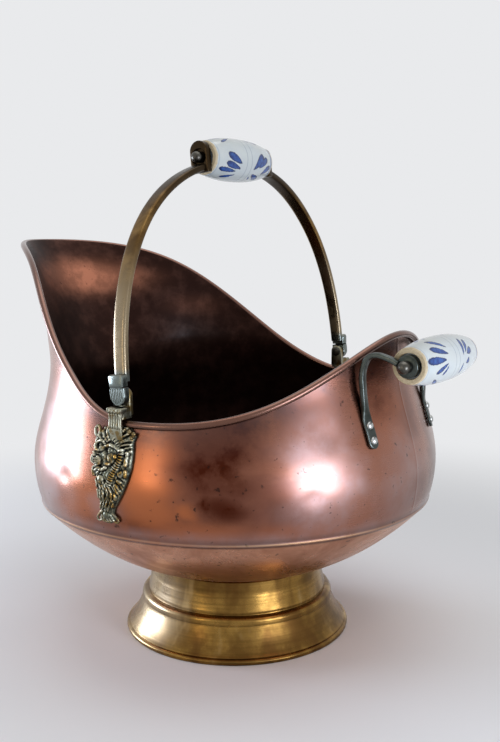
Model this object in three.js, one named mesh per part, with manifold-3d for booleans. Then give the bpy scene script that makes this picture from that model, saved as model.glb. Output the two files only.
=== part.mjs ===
// A helmet-shaped log bucket: a copper bowl drawn up into a pouring lip, on a spun brass foot,
// with a swinging bail and a fixed rear handle that both carry a barrel grip of glazed pottery.
//
// Millimetres, +Z up. The lip points along -X, the rear handle along +X, and both grips lie
// along Y. The bucket stands on z = 0, with the origin under the middle of its outline.

import * as THREE from 'three';
import { mergeVertices } from 'three/addons/utils/BufferGeometryUtils.js';
import Module from 'manifold-3d';

const wasm = await Module();
wasm.setup();

// Sheet, clearances and how finely round things are divided
const COPPER_SHEET = 1.0;
const BRASS_SHEET = 1.2;
const SEAT_GAP = 0.3;
const OVERRUN = 4;
const AROUND = 44;
const ROUND_SIDES = 12;
const RIVET_SIDES = 8;

// Bowl: the round body, measured on its outer face
const PAN_BOTTOM_HEIGHT = 52;
const WAIST_HEIGHT = 117.6;
const WAIST_RADIUS = 161.5;
const BELLY_HEIGHT = 150;
const BELLY_RADIUS = 166.8;
const THROAT_HEIGHT = 235;
const THROAT_RADIUS = 149;
const PAN_CUFF = 9;
const SEAM_RIDGE = 0.6;
const SEAM_RIDGE_HEIGHT = 2.2;
const SEAM_JOG = 0.8;

// Rim: the edge sweeps up to the lip in front and to a lower crest at the back
const LIP_HEIGHT = 326.5;
const LIP_REACH = 222;
const SADDLE_HEIGHT = 199.5;
const BACK_HEIGHT = 256.5;
const BEAD_RADIUS = 2.6;
const WIRE_GAP = 0.35;

// Foot: one spun brass skirt
const FOOT_RADIUS = 95;
const FOOT_FLANGE_RADIUS = 60;
const FOOT_NECK_RADIUS = 72;
const FOOT_GROOVE_RADIUS = 75.5;
const FOOT_GROOVE_HEIGHT = 33.6;
const FOOT_STEP_RADIUS = 81.4;
const FOOT_STEP_HEIGHT = 26.3;
const FOOT_BEAD_HEIGHT = 4.6;
const FOOT_RING_WIDTH = 3.2;

// Bail: two arms in an elliptic arch, turning on a pin at each side
const PIVOT_X = 13;
const PIVOT_RISE = 20;
const BAIL_LEAN_DEG = -5.5;
const BAIL_GRIP_RISE = 171.5;
const BAIL_GRIP_ASIDE = 2.8;
const ARCH_DROP = 3.4;
const ARM_WIDTH = 10.8;
const ARM_THICKNESS = 6;
const ARM_TIP_WIDTH = 13;
const ARM_INSET = 0.8;
const PALM_WIDTH = 13;
const PALM_STAND = 5.8;
const PALM_THICKNESS = 6.9;
const PALM_TOP = 11.5;
const PIN_RADIUS = 2.5;
const PIN_HEAD_RADIUS = 4.4;
const PIN_HEAD_THICKNESS = 1.7;
const PIN_DEPTH = 4.6;
const BOSS_WIDTH = 16.6;
const BOSS_DROP = 11.9;
const BOSS_RISE = 12.7;
const BOSS_THICKNESS = 5.5;
const BOSS_RECESS_RADIUS = 6.4;
const BOSS_RECESS_DEPTH = 2.4;

// Lion masks: cast plates that hook over the rim and carry the pins
const MASK_HALF_WIDTH = 18.5;
const MASK_DROP = 1;
const MASK_FOOT_GAP = 12.4;
const MASK_ASIDE = 3.5;
const MASK_LEAN_DEG = 2;
const MASK_PLATE = 2.4;
const MASK_CROWN = 2.6;
const HOOK_WIDTH = 11;
const HOOK_STAND = 3.8;
const HOOK_RISE = 4.5;
const LUG_THICKNESS = 4;
const FLUTE_RADIUS = 1.15;
const FLUTE_PITCH = 2.3;
const MASK_RIVET_ASIDE = 3.4;
const MASK_RIVET_RADIUS = 1.7;
const MASK_RIVET_HEAD_RADIUS = 3;
const MASK_RIVET_SEAT = 3;

// Pottery grips, with the rods and nuts that hold them
const BAIL_GRIP_LENGTH = 79.6;
const REAR_GRIP_LENGTH = 94.6;
const GRIP_RADIUS = 17.3;
const GRIP_END_RADIUS = 12.8;
const GRIP_BORE_RADIUS = 3.8;
const GRIP_RECESS_RADIUS = 9.2;
const GRIP_RECESS_DEPTH = 3;
const GRIP_PLAY = 0.4;
const ROD_RADIUS = 2.5;
const NUT_RADIUS = 4.5;
const NUT_LENGTH = 8.6;
const NUT_BORE_DEPTH = 6.2;

// Rear handle: two riveted straps that rise, crook outwards and end in an eye
const HANDLE_STAND = 31.7;
const HANDLE_DROP = 16.7;
const STRAP_LATERAL = 50.8;
const STRAP_PALM_LATERAL = 48.4;
const STRAP_DROP = 61.3;
const STRAP_PALM_LENGTH = 23.5;
const STRAP_PALM_WIDTH = 9;
const STRAP_PALM_THICKNESS = 2.4;
const STRAP_BAR_WIDTH = 6.2;
const STRAP_BAR_THICKNESS = 4.2;
const CROOK_STAND_OFF = 4.6;
const CROOK_DROP = 5.8;
const CROOK_RISE = 6.6;
const EYE_RADIUS = 8.2;
const EYE_THICKNESS = 6.6;
const EYE_SINK = 2.6;
const STRAP_RIVET_RADIUS = 1.8;
const STRAP_RIVET_HEAD_RADIUS = 3;
const RIVET_HEAD_HEIGHT = 1.9;
const RIVET_TAIL_HEIGHT = 1.2;

// Shares: pure proportions, chosen by eye
const SADDLE_ANGLE = THREE.MathUtils.degToRad(99);
const LIP_SWEEP_SHARE = 1.2;
const BACK_SWEEP_SHARE = 1.38;
const NOSE_ANGLE = THREE.MathUtils.degToRad(23);
const NARROWING_ANGLE = THREE.MathUtils.degToRad(11.6);
const FLARE_START_SHARE = 0.42;
const FLARE_POWER_SHARE = 1.3;
const PAN_POWER_SHARE = 2.58;
const ARCH_POWER_SHARE = 2.26;

const copper = new THREE.MeshStandardMaterial({ color: 0xb0694c, roughness: 0.3, metalness: 1 });
const panCopper = new THREE.MeshStandardMaterial({ color: 0x9c5f4a, roughness: 0.38, metalness: 1 });
const footBrass = new THREE.MeshStandardMaterial({ color: 0x9a7a3c, roughness: 0.33, metalness: 1 });
const armBrass = new THREE.MeshStandardMaterial({ color: 0x8a7047, roughness: 0.36, metalness: 1 });
const maskBrass = new THREE.MeshStandardMaterial({ color: 0x6b6650, roughness: 0.45, metalness: 1 });
const darkMetal = new THREE.MeshStandardMaterial({ color: 0x3a3a36, roughness: 0.45, metalness: 1 });
const rivetMetal = new THREE.MeshStandardMaterial({ color: 0xc4c6c4, roughness: 0.3, metalness: 1 });
const ironWire = new THREE.MeshStandardMaterial({ color: 0x55504a, roughness: 0.6, metalness: 1 });
const pottery = new THREE.MeshStandardMaterial({ color: 0xdfe5e6, roughness: 0.15, metalness: 0 });

// Small helpers

const clamp01 = (value) => Math.min(1, Math.max(0, value));
const mix = (from, to, share) => from + (to - from) * share;
const ease = (share) => share * share * (3 - 2 * share);
const vec = (x, y, z) => new THREE.Vector3(x, y, z);

// Merges equal corners and drops the slivers that a pole or a closed seam leaves.
function weld(geometry) {
  const bare = geometry.index ? geometry.clone() : geometry;
  for (const name of Object.keys(bare.attributes)) {
    if (name !== 'position') bare.deleteAttribute(name);
  }
  const merged = mergeVertices(bare, SEAT_GAP / 1000);
  const index = Array.from(merged.index.array);
  const kept = [];
  for (let i = 0; i < index.length; i += 3) {
    const [a, b, c] = [index[i], index[i + 1], index[i + 2]];
    if (a !== b && b !== c && a !== c) kept.push(a, b, c);
  }
  merged.setIndex(kept);
  return merged;
}

function toSolid(geometry) {
  const merged = weld(geometry);
  const vertProperties = new Float32Array(merged.attributes.position.array);
  const triVerts = new Uint32Array(merged.index.array);
  return new wasm.Manifold(new wasm.Mesh({ numProp: 3, vertProperties, triVerts }));
}

function toGeometry(solid) {
  const mesh = solid.simplify(SEAT_GAP / 10).getMesh();
  const geometry = new THREE.BufferGeometry();
  geometry.setAttribute('position', new THREE.BufferAttribute(new Float32Array(mesh.vertProperties), 3));
  geometry.setIndex(Array.from(mesh.triVerts));
  return geometry;
}

const joined = (...geometries) => toGeometry(geometries.map(toSolid).reduce((a, b) => a.add(b)));
const without = (geometry, ...cutters) => toGeometry(
  cutters.map(toSolid).reduce((a, b) => a.subtract(b), toSolid(geometry)),
);

// A closed body through rings of equally many points. The rings close on themselves; the
// body closes round on its first ring, or gets a flat lid at each end.
function skin(rings, wrapped) {
  const count = rings[0].length;
  const points = rings.flat();
  const faces = [];
  const spans = wrapped ? rings.length : rings.length - 1;
  for (let i = 0; i < spans; i += 1) {
    const here = i * count;
    const next = ((i + 1) % rings.length) * count;
    for (let j = 0; j < count; j += 1) {
      const k = (j + 1) % count;
      faces.push(here + j, next + j, next + k, here + j, next + k, here + k);
    }
  }
  if (!wrapped) {
    const last = (rings.length - 1) * count;
    for (let j = 1; j < count - 1; j += 1) {
      faces.push(0, j, j + 1, last, last + j + 1, last + j);
    }
  }
  return outward(points, faces);
}

// A slab between two grids of points that lie over each other.
function slab(front, back) {
  const rows = front.length;
  const columns = front[0].length;
  const half = rows * columns;
  const points = [...front.flat(), ...back.flat()];
  const faces = [];
  const quad = (a, b, c, d) => faces.push(a, b, c, a, c, d);
  for (let i = 0; i < rows - 1; i += 1) {
    for (let j = 0; j < columns - 1; j += 1) {
      const a = i * columns + j;
      quad(a, a + columns, a + columns + 1, a + 1);
      quad(half + a, half + a + 1, half + a + columns + 1, half + a + columns);
    }
  }
  for (let j = 0; j < columns - 1; j += 1) {
    const last = (rows - 1) * columns + j;
    quad(j, j + 1, half + j + 1, half + j);
    quad(last, half + last, half + last + 1, last + 1);
  }
  for (let i = 0; i < rows - 1; i += 1) {
    const a = i * columns;
    const b = a + columns - 1;
    quad(a, half + a, half + a + columns, a + columns);
    quad(b, b + columns, half + b + columns, half + b);
  }
  return outward(points, faces);
}

// Builds the geometry, turned inside out where its volume comes out negative.
function outward(points, faces) {
  let volume = 0;
  for (let i = 0; i < faces.length; i += 3) {
    const [a, b, c] = [points[faces[i]], points[faces[i + 1]], points[faces[i + 2]]];
    volume += a.dot(b.clone().cross(c));
  }
  const order = volume < 0 ? [0, 2, 1] : [0, 1, 2];
  const index = [];
  for (let i = 0; i < faces.length; i += 3) index.push(...order.map((k) => faces[i + k]));
  const geometry = new THREE.BufferGeometry();
  const position = new Float32Array(points.flatMap((p) => p.toArray()));
  geometry.setAttribute('position', new THREE.BufferAttribute(position, 3));
  geometry.setIndex(index);
  return geometry;
}

// A small body turned about Z from a profile of [radius, height] pairs.
function turned(profile, sides) {
  const outline = profile.map(([radius, height]) => new THREE.Vector2(radius, height));
  const geometry = new THREE.LatheGeometry(outline, sides);
  geometry.rotateX(Math.PI / 2);
  const merged = weld(geometry);
  const positions = merged.attributes.position;
  const points = [];
  for (let i = 0; i < positions.count; i += 1) points.push(vec(0, 0, 0).fromBufferAttribute(positions, i));
  return outward(points, Array.from(merged.index.array));
}

// A round bar along Y between two places, and one along any direction.
function barAlongY(radius, from, to, x = 0, z = 0, sides = ROUND_SIDES) {
  const geometry = new THREE.CylinderGeometry(radius, radius, Math.abs(to - from), sides);
  geometry.translate(x, (from + to) / 2, z);
  return geometry;
}

function aim(geometry, origin, direction) {
  const turn = new THREE.Quaternion().setFromUnitVectors(vec(0, 0, 1), direction.clone().normalize());
  return geometry.applyQuaternion(turn).translate(origin.x, origin.y, origin.z);
}

function barAlong(radius, origin, direction, from, to, sides = ROUND_SIDES) {
  const geometry = new THREE.CylinderGeometry(radius, radius, to - from, sides);
  geometry.rotateX(Math.PI / 2).translate(0, 0, (from + to) / 2);
  return aim(geometry, origin, direction);
}

// Offsets an open profile to its left by a thickness, for sheet metal.
function offsetProfile(profile, thickness) {
  return profile.map((point, i) => {
    const before = profile[Math.max(0, i - 1)];
    const after = profile[Math.min(profile.length - 1, i + 1)];
    const along = new THREE.Vector2(after[0] - before[0], after[1] - before[1]).normalize();
    return [point[0] - along.y * thickness, point[1] + along.x * thickness];
  });
}

// The bowl's wall. Angles run from the lip, 0, to the back, PI, on the +Y side.

function roundRadius(height) {
  if (height < BELLY_HEIGHT) {
    const share = (height - WAIST_HEIGHT) / (BELLY_HEIGHT - WAIST_HEIGHT);
    return mix(WAIST_RADIUS, BELLY_RADIUS, 1 - (1 - share) ** 2);
  }
  const share = clamp01((height - BELLY_HEIGHT) / (THROAT_HEIGHT - BELLY_HEIGHT));
  return mix(BELLY_RADIUS, THROAT_RADIUS, ease(share));
}

function rimHeight(angle) {
  const turn = Math.abs(angle);
  if (turn < SADDLE_ANGLE) {
    const share = (turn / SADDLE_ANGLE) ** LIP_SWEEP_SHARE;
    return mix(SADDLE_HEIGHT, LIP_HEIGHT, (1 + Math.cos(Math.PI * share)) / 2);
  }
  const share = ((turn - SADDLE_ANGLE) / (Math.PI - SADDLE_ANGLE)) ** BACK_SWEEP_SHARE;
  return mix(SADDLE_HEIGHT, BACK_HEIGHT, (1 - Math.cos(Math.PI * share)) / 2);
}

function rimRadius(angle) {
  const base = roundRadius(rimHeight(angle));
  const blunt = Math.hypot(angle, NOSE_ANGLE) - NOSE_ANGLE;
  return mix(base, LIP_REACH, Math.exp(-blunt / NARROWING_ANGLE));
}

function wallPoint(angle, height) {
  const top = rimHeight(angle);
  const start = mix(WAIST_HEIGHT, top, FLARE_START_SHARE);
  const climb = clamp01((height - start) / (top - start)) ** FLARE_POWER_SHARE;
  const radius = roundRadius(height) + (rimRadius(angle) - roundRadius(top)) * climb;
  return vec(-radius * Math.cos(angle), radius * Math.sin(angle), height);
}

const NUDGE_SHARE = 1e-4;

function wallNormal(angle, height) {
  const step = WAIST_HEIGHT * NUDGE_SHARE;
  const up = wallPoint(angle, height).sub(wallPoint(angle, height - step));
  const round = wallPoint(angle + NUDGE_SHARE, height).sub(wallPoint(angle - NUDGE_SHARE, height));
  const normal = up.cross(round).normalize();
  const out = vec(-Math.cos(angle), Math.sin(angle), 0);
  return normal.dot(out) < 0 ? normal.negate() : normal;
}

const wallOffset = (angle, height, distance) => wallPoint(angle, height)
  .addScaledVector(wallNormal(angle, height), distance);

// The rolled edge: a circle whose plane stands square to the rim's own course.
function rimFrame(angle) {
  const edge = wallPoint(angle, rimHeight(angle));
  const ahead = wallPoint(angle + NUDGE_SHARE, rimHeight(angle + NUDGE_SHARE));
  const behind = wallPoint(angle - NUDGE_SHARE, rimHeight(angle - NUDGE_SHARE));
  const along = ahead.sub(behind).normalize();
  const out = wallNormal(angle, rimHeight(angle));
  out.addScaledVector(along, -out.dot(along)).normalize();
  const up = along.clone().cross(out);
  if (up.z < 0) up.negate();
  const centre = edge.clone().addScaledVector(out, BEAD_RADIUS - COPPER_SHEET);
  return { centre, out, up };
}

function aroundBead(frame, radius, degrees) {
  const turn = THREE.MathUtils.degToRad(degrees);
  return frame.centre.clone()
    .addScaledVector(frame.out, radius * Math.cos(turn))
    .addScaledVector(frame.up, radius * Math.sin(turn));
}

// Upper body: one copper sheet from the waist seam to the edge rolled over the wire

const CURL_DEGREES = [180, 125, 70, 15, -40, -95];
// Up the wall from the belly to the rim
const WALL_SHARES = [0.14, 0.29, 0.44, 0.59, 0.74, 0.88];

function upperBodySection(angle, growth = 0) {
  const top = rimHeight(angle);
  const upperRows = WALL_SHARES.map((share) => mix(BELLY_HEIGHT, top, share));
  const cuffTop = WAIST_HEIGHT + PAN_CUFF;
  const rows = [cuffTop, mix(cuffTop, BELLY_HEIGHT, 0.5), BELLY_HEIGHT, ...upperRows];
  const ridgeTop = WAIST_HEIGHT + SEAM_RIDGE_HEIGHT;
  const frame = rimFrame(angle);
  const ridge = [
    wallOffset(angle, WAIST_HEIGHT, SEAM_RIDGE),
    wallOffset(angle, mix(WAIST_HEIGHT, ridgeTop, 0.7), SEAM_RIDGE),
    wallOffset(angle, ridgeTop, 0),
  ];
  const curlInside = CURL_DEGREES.map((degrees) => aroundBead(frame, BEAD_RADIUS - COPPER_SHEET, degrees));
  const curlOutside = CURL_DEGREES.map((degrees) => aroundBead(frame, BEAD_RADIUS + growth, degrees));
  return [
    ...ridge,
    ...rows.map((height) => wallOffset(angle, height, growth)),
    ...curlInside,
    ...curlOutside.reverse(),
    ...rows.reverse().map((height) => wallOffset(angle, height, -COPPER_SHEET - growth)),
    wallOffset(angle, ridgeTop, -COPPER_SHEET),
    wallOffset(angle, WAIST_HEIGHT, -COPPER_SHEET),
  ];
}

// Stations round the bowl lie closer together at the lip, where the rim bends most.
const LIP_CROWDING_SHARE = 0.3;
const stations = Array.from({ length: AROUND }, (_, i) => {
  const even = (i / AROUND) * 2 * Math.PI - Math.PI;
  return even - LIP_CROWDING_SHARE * Math.sin(even);
});

// A large body turned about Z on the same stations, so that its facets match the bowl's.
const spun = (profile) => weld(skin(stations.map((angle) => profile.map(([radius, height]) => vec(
  -radius * Math.cos(angle), radius * Math.sin(angle), height,
))), true));

const upperBody = skin(stations.map((angle) => upperBodySection(angle)), true);

// Where a rivet stands square on the wall's own facet
const bodyProbe = new THREE.Mesh(upperBody);

function seatOnWall(angle, height) {
  const normal = wallNormal(angle, height);
  const start = wallPoint(angle, height).addScaledVector(normal, OVERRUN);
  const [hit] = new THREE.Raycaster(start, normal.negate()).intersectObject(bodyProbe);
  return { origin: hit.point, direction: hit.face.normal.clone() };
}

function rimTube(angles, radius, sides) {
  return angles.map((angle) => {
    const frame = rimFrame(angle);
    return Array.from({ length: sides }, (_, i) => aroundBead(frame, radius, (i / sides) * 360));
  });
}

const rimWire = skin(rimTube(stations, BEAD_RADIUS - COPPER_SHEET - WIRE_GAP, 5), true);

// The same sheet with the seating gap added outside and its curl filled, to cut the seats of
// what lies against it
const bodyRoom = joined(
  skin(stations.map((angle) => upperBodySection(angle, SEAT_GAP)), true),
  skin(rimTube(stations, BEAD_RADIUS, 12), true),
);

// Lower pan: a raised dish whose cuff stands inside the upper body

function panHeight(radius) {
  return mix(PAN_BOTTOM_HEIGHT, WAIST_HEIGHT - SEAT_GAP, (radius / WAIST_RADIUS) ** PAN_POWER_SHARE);
}

const PAN_STATION_SHARES = [0, 0.25, 0.45, 0.6, 0.74, 0.86, 0.94, 1];

function panProfile() {
  const dish = PAN_STATION_SHARES.map((share) => [share * WAIST_RADIUS, panHeight(share * WAIST_RADIUS)]);
  // The cuff follows the inside of the wall's sheet at the same heights.
  const cuff = (height, inward) => {
    const point = wallOffset(Math.PI, height, -inward);
    return [point.x, point.z];
  };
  const cuffOut = COPPER_SHEET + SEAT_GAP;
  const cuffIn = cuffOut + COPPER_SHEET;
  const cuffTop = WAIST_HEIGHT + PAN_CUFF;
  const outer = [
    ...dish,
    [cuff(WAIST_HEIGHT, cuffOut)[0], WAIST_HEIGHT - SEAT_GAP / 2],
    cuff(WAIST_HEIGHT, cuffOut),
    cuff(WAIST_HEIGHT + SEAM_RIDGE_HEIGHT, cuffOut),
    cuff(cuffTop, cuffOut),
  ];
  const dishInside = offsetProfile(dish, COPPER_SHEET).slice(0, -1);
  dishInside[0] = [0, PAN_BOTTOM_HEIGHT + COPPER_SHEET];
  const inner = [
    cuff(cuffTop, cuffIn),
    cuff(WAIST_HEIGHT + SEAM_JOG, cuffIn),
    ...dishInside.reverse(),
  ];
  return [...outer, ...inner];
}

const bottomPan = spun(panProfile());

// Foot: a flange under the pan, a neck, a stepped ring, a flared skirt and a rolled bead

function footProfile() {
  const underPan = (radius) => panHeight(radius) - SEAT_GAP * 1.6;
  const flange = [
    [FOOT_FLANGE_RADIUS, underPan(FOOT_FLANGE_RADIUS)],
    [FOOT_NECK_RADIUS - BRASS_SHEET, underPan(FOOT_NECK_RADIUS - BRASS_SHEET)],
  ];
  const neckTop = underPan(FOOT_NECK_RADIUS);
  const ringDepth = FOOT_STEP_RADIUS - FOOT_GROOVE_RADIUS;
  const ringHeight = FOOT_GROOVE_HEIGHT - FOOT_STEP_HEIGHT;
  const neck = [
    [FOOT_NECK_RADIUS, neckTop - BRASS_SHEET],
    [mix(FOOT_NECK_RADIUS, FOOT_GROOVE_RADIUS, 0.35), mix(neckTop, FOOT_GROOVE_HEIGHT, 0.4)],
    [mix(FOOT_NECK_RADIUS, FOOT_GROOVE_RADIUS, 0.95), mix(neckTop, FOOT_GROOVE_HEIGHT, 0.86)],
    [FOOT_GROOVE_RADIUS, FOOT_GROOVE_HEIGHT],
    [FOOT_GROOVE_RADIUS + ringDepth * 0.75, FOOT_GROOVE_HEIGHT - ringHeight * 0.25],
    [FOOT_STEP_RADIUS, FOOT_STEP_HEIGHT],
  ];
  const flare = FOOT_RADIUS - FOOT_STEP_RADIUS;
  const skirt = [[0.32, 0.52], [0.82, 1]].map(([outShare, downShare]) => [
    FOOT_STEP_RADIUS + flare * outShare,
    mix(FOOT_STEP_HEIGHT, FOOT_BEAD_HEIGHT, downShare),
  ]);
  const bead = [[0.98, 0.76], [1, 0.5], [0.98, 0.2], [0.92, 0]].map(([radiusShare, heightShare]) => [
    FOOT_STEP_RADIUS + flare * radiusShare,
    FOOT_BEAD_HEIGHT * heightShare,
  ]);
  const sheet = [...flange, ...neck, ...skirt];
  const beadFoot = bead[bead.length - 1][0] - FOOT_RING_WIDTH;
  const inside = offsetProfile([...flange, neck[0], neck[2], neck[5], ...skirt], -BRASS_SHEET);
  return [...sheet, ...bead, [beadFoot, 0], ...inside.reverse()];
}

const foot = spun(footProfile());

// Lion masks: the +Y one, which is mirrored for the other side

const MASK_ANGLE = Math.acos(-PIVOT_X / roundRadius(SADDLE_HEIGHT));
const maskTop = SADDLE_HEIGHT - MASK_DROP;
const maskBottom = WAIST_HEIGHT + MASK_FOOT_GAP;
const palmFace = wallPoint(MASK_ANGLE, SADDLE_HEIGHT).y + PALM_STAND;
const hookOuter = palmFace + HOOK_STAND;
const pivotHeight = SADDLE_HEIGHT + PIVOT_RISE;
const hookBottom = SADDLE_HEIGHT + HOOK_RISE;
const hookTop = pivotHeight - PALM_WIDTH / 2 - 2 * SEAT_GAP;
const MASK_ROWS = 15;
const MASK_COLUMNS = 9;
// Down the mask, the share of its greatest half width
const OUTLINE_SHARES = [0.5, 0.86, 1, 0.9, 0.98, 1, 0.93, 0.86, 0.74, 0.6, 0.5, 0.34, 0.5, 0.34];
// Across, down, reach and rise of each swelling of the face, as shares of the mask
const FACE_SHARES = [
  [0.78, 0.05, 0.24, 0.9], [0.34, 0.3, 0.26, 0.95], [0.36, 0.41, 0.15, -0.55], [0, 0.42, 0.2, 1.25],
  [0.6, 0.5, 0.26, 0.8], [0.22, 0.57, 0.24, 0.9], [0.5, 0.68, 0.2, 0.5], [0, 0.78, 0.3, 0.6],
];

// The mask sits a little nearer the lip than its hook, and hangs slightly askew.
function maskMiddle(height) {
  const aside = MASK_ASIDE + (maskTop - height) * Math.tan(THREE.MathUtils.degToRad(MASK_LEAN_DEG));
  return MASK_ANGLE - aside / BELLY_RADIUS;
}

function alongShares(shares, place) {
  const reach = clamp01(place) * (shares.length - 1);
  const from = Math.min(shares.length - 2, Math.floor(reach));
  return mix(shares[from], shares[from + 1], ease(reach - from));
}

function faceRise(across, down) {
  const swell = FACE_SHARES.reduce((sum, [u, v, reach, rise]) => {
    const distance = Math.hypot(Math.abs(across) - u, (down - v) * 1.6) / reach;
    return sum + rise * Math.exp(-distance * distance);
  }, 0);
  return MASK_PLATE + MASK_CROWN * (0.35 * (1 - across * across) + Math.max(-0.3, swell));
}

function maskPlate() {
  const front = [];
  const back = [];
  for (let i = 0; i < MASK_ROWS; i += 1) {
    const down = i / (MASK_ROWS - 1);
    const height = mix(maskTop, maskBottom, down);
    const half = MASK_HALF_WIDTH * alongShares(OUTLINE_SHARES, down);
    const rowFront = [];
    const rowBack = [];
    for (let j = 0; j < MASK_COLUMNS; j += 1) {
      const across = (j / (MASK_COLUMNS - 1)) * 2 - 1;
      const angle = maskMiddle(height) + (across * half) / BELLY_RADIUS;
      const seat = seatOnWall(angle, height).origin;
      rowBack.push(seat.clone());
      rowFront.push(seat.addScaledVector(wallNormal(angle, height), SEAT_GAP + faceRise(across, down)));
    }
    front.push(rowFront);
    back.push(rowBack);
  }
  return slab(front, back);
}

// A flat outline of [Y, Z] pairs drawn out along X, centred on the pivot.
function alongX(outline, width) {
  const shape = new THREE.Shape(outline.map(([y, z]) => new THREE.Vector2(y, z)));
  const geometry = new THREE.ExtrudeGeometry(shape, { depth: width, bevelEnabled: false });
  geometry.applyMatrix4(new THREE.Matrix4().makeBasis(vec(0, 1, 0), vec(0, 0, 1), vec(1, 0, 0)));
  return geometry.translate(PIVOT_X - width / 2, 0, 0);
}

const hookInner = palmFace - PALM_THICKNESS - SEAT_GAP - LUG_THICKNESS;

function hookBlock() {
  const throat = wallOffset(MASK_ANGLE, maskTop - 2 * MASK_PLATE, SEAT_GAP).y;
  const beadFace = wallPoint(MASK_ANGLE, SADDLE_HEIGHT).y + 2 * BEAD_RADIUS;
  return alongX([
    [throat + SEAT_GAP, maskTop - 2 * MASK_PLATE],
    [hookOuter, maskTop - 2 * MASK_PLATE],
    [hookOuter - MASK_PLATE / 3, mix(maskTop, hookTop, 0.4)],
    [hookOuter, hookTop - MASK_PLATE / 2],
    [hookOuter - MASK_PLATE / 3, hookTop],
    [hookInner, hookTop],
    [hookInner, hookBottom],
    [beadFace, hookBottom],
    [beadFace, maskTop],
  ], HOOK_WIDTH);
}

// A round-ended tab in the XZ plane, drawn out along Y.
function tab(halfWidth, bottom, top, from, thickness, roundTop) {
  const shape = new THREE.Shape();
  if (roundTop) {
    shape.moveTo(-halfWidth, bottom);
    shape.lineTo(halfWidth, bottom);
    shape.lineTo(halfWidth, top);
    shape.absarc(0, top, halfWidth, 0, Math.PI, false);
  } else {
    shape.moveTo(halfWidth, top);
    shape.lineTo(-halfWidth, top);
    shape.lineTo(-halfWidth, bottom);
    shape.absarc(0, bottom, halfWidth, Math.PI, 2 * Math.PI, false);
  }
  const draw = { depth: thickness, bevelEnabled: false, curveSegments: 8 };
  const geometry = new THREE.ExtrudeGeometry(shape, draw);
  geometry.rotateX(Math.PI / 2);
  return geometry.translate(0, from + thickness, 0);
}

// A row of upright flutes, side by side across a face.
function flutes(count, face, from, to, x) {
  return Array.from({ length: count }, (_, i) => {
    const geometry = new THREE.CylinderGeometry(FLUTE_RADIUS, FLUTE_RADIUS, to - from, 4);
    geometry.rotateX(Math.PI / 2);
    return geometry.translate(x + (i - (count - 1) / 2) * FLUTE_PITCH, face, (from + to) / 2);
  });
}

// The upper rivet stands clear of the hook, nearer the lip than the mask's middle.
const maskRivetPlaces = [[0.07, MASK_RIVET_ASIDE], [0.9, 0]].map(([down, aside]) => {
  const height = mix(maskTop, maskBottom, down);
  return seatOnWall(maskMiddle(height) - aside / BELLY_RADIUS, height);
});

const HOLE_PLAY = SEAT_GAP;
const maskSeat = SEAT_GAP + MASK_RIVET_SEAT;

function lionMask() {
  const lugHalf = HOOK_WIDTH / 2;
  const lug = tab(lugHalf, hookBottom + MASK_PLATE, pivotHeight, hookInner, LUG_THICKNESS, true);
  lug.translate(PIVOT_X, 0, 0);
  const ribFace = hookOuter - MASK_PLATE / 4;
  const ribs = flutes(5, ribFace, maskTop - MASK_PLATE, hookTop - MASK_PLATE, PIVOT_X);
  const casting = joined(maskPlate(), hookBlock(), lug, ...ribs);
  const pinRoom = [hookInner - OVERRUN, hookInner + LUG_THICKNESS + OVERRUN];
  const pinHole = barAlongY(PIN_RADIUS + HOLE_PLAY, ...pinRoom, PIVOT_X, pivotHeight);
  const shankRoom = [-OVERRUN, OVERRUN * 2, RIVET_SIDES];
  const headRoom = [maskSeat, maskSeat + 3 * OVERRUN, RIVET_SIDES];
  const rivetRooms = maskRivetPlaces.flatMap(({ origin, direction }) => [
    barAlong(MASK_RIVET_RADIUS + HOLE_PLAY, origin, direction, ...shankRoom),
    barAlong(MASK_RIVET_HEAD_RADIUS + HOLE_PLAY, origin, direction, ...headRoom),
  ]);
  return without(casting, bodyRoom, pinHole, ...rivetRooms);
}

// A rivet along +Z from its tail inside the sheet to its head, over a grip of given length.
function rivet(radius, headRadius, gripLength) {
  const tail = -RIVET_TAIL_HEIGHT;
  return turned([
    [0, tail],
    [headRadius * 0.85, 0],
    [radius, 0],
    [radius, gripLength],
    [headRadius, gripLength],
    [headRadius * 0.7, gripLength + RIVET_HEAD_HEIGHT * 0.75],
    [0, gripLength + RIVET_HEAD_HEIGHT],
  ], RIVET_SIDES);
}

const maskRivetGrip = COPPER_SHEET + maskSeat + 2 * SEAT_GAP;

function maskRivet({ origin, direction }) {
  const body = rivet(MASK_RIVET_RADIUS, MASK_RIVET_HEAD_RADIUS, maskRivetGrip);
  const start = origin.clone().addScaledVector(direction, -COPPER_SHEET - SEAT_GAP);
  return aim(body, start, direction);
}

// Pivot pin: its head bears on the lug inside the bowl, its shank ends blind in the palm

function pivotPin() {
  const headFace = hookInner - SEAT_GAP;
  const profile = [
    [0, 0],
    [PIN_HEAD_RADIUS * 0.7, PIN_HEAD_THICKNESS * 0.2],
    [PIN_HEAD_RADIUS, PIN_HEAD_THICKNESS * 0.6],
    [PIN_HEAD_RADIUS, PIN_HEAD_THICKNESS],
    [PIN_RADIUS, PIN_HEAD_THICKNESS],
    [PIN_RADIUS, PIN_HEAD_THICKNESS + 2 * SEAT_GAP + LUG_THICKNESS + PIN_DEPTH],
    [0, PIN_HEAD_THICKNESS + 2 * SEAT_GAP + LUG_THICKNESS + PIN_DEPTH],
  ];
  const start = vec(PIVOT_X, headFace - PIN_HEAD_THICKNESS, pivotHeight);
  return aim(turned(profile, 10), start, vec(0, 1, 0));
}

// Bail, in its own frame: the pivot at the origin, the arch rising along +Z, the +Y arm

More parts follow.
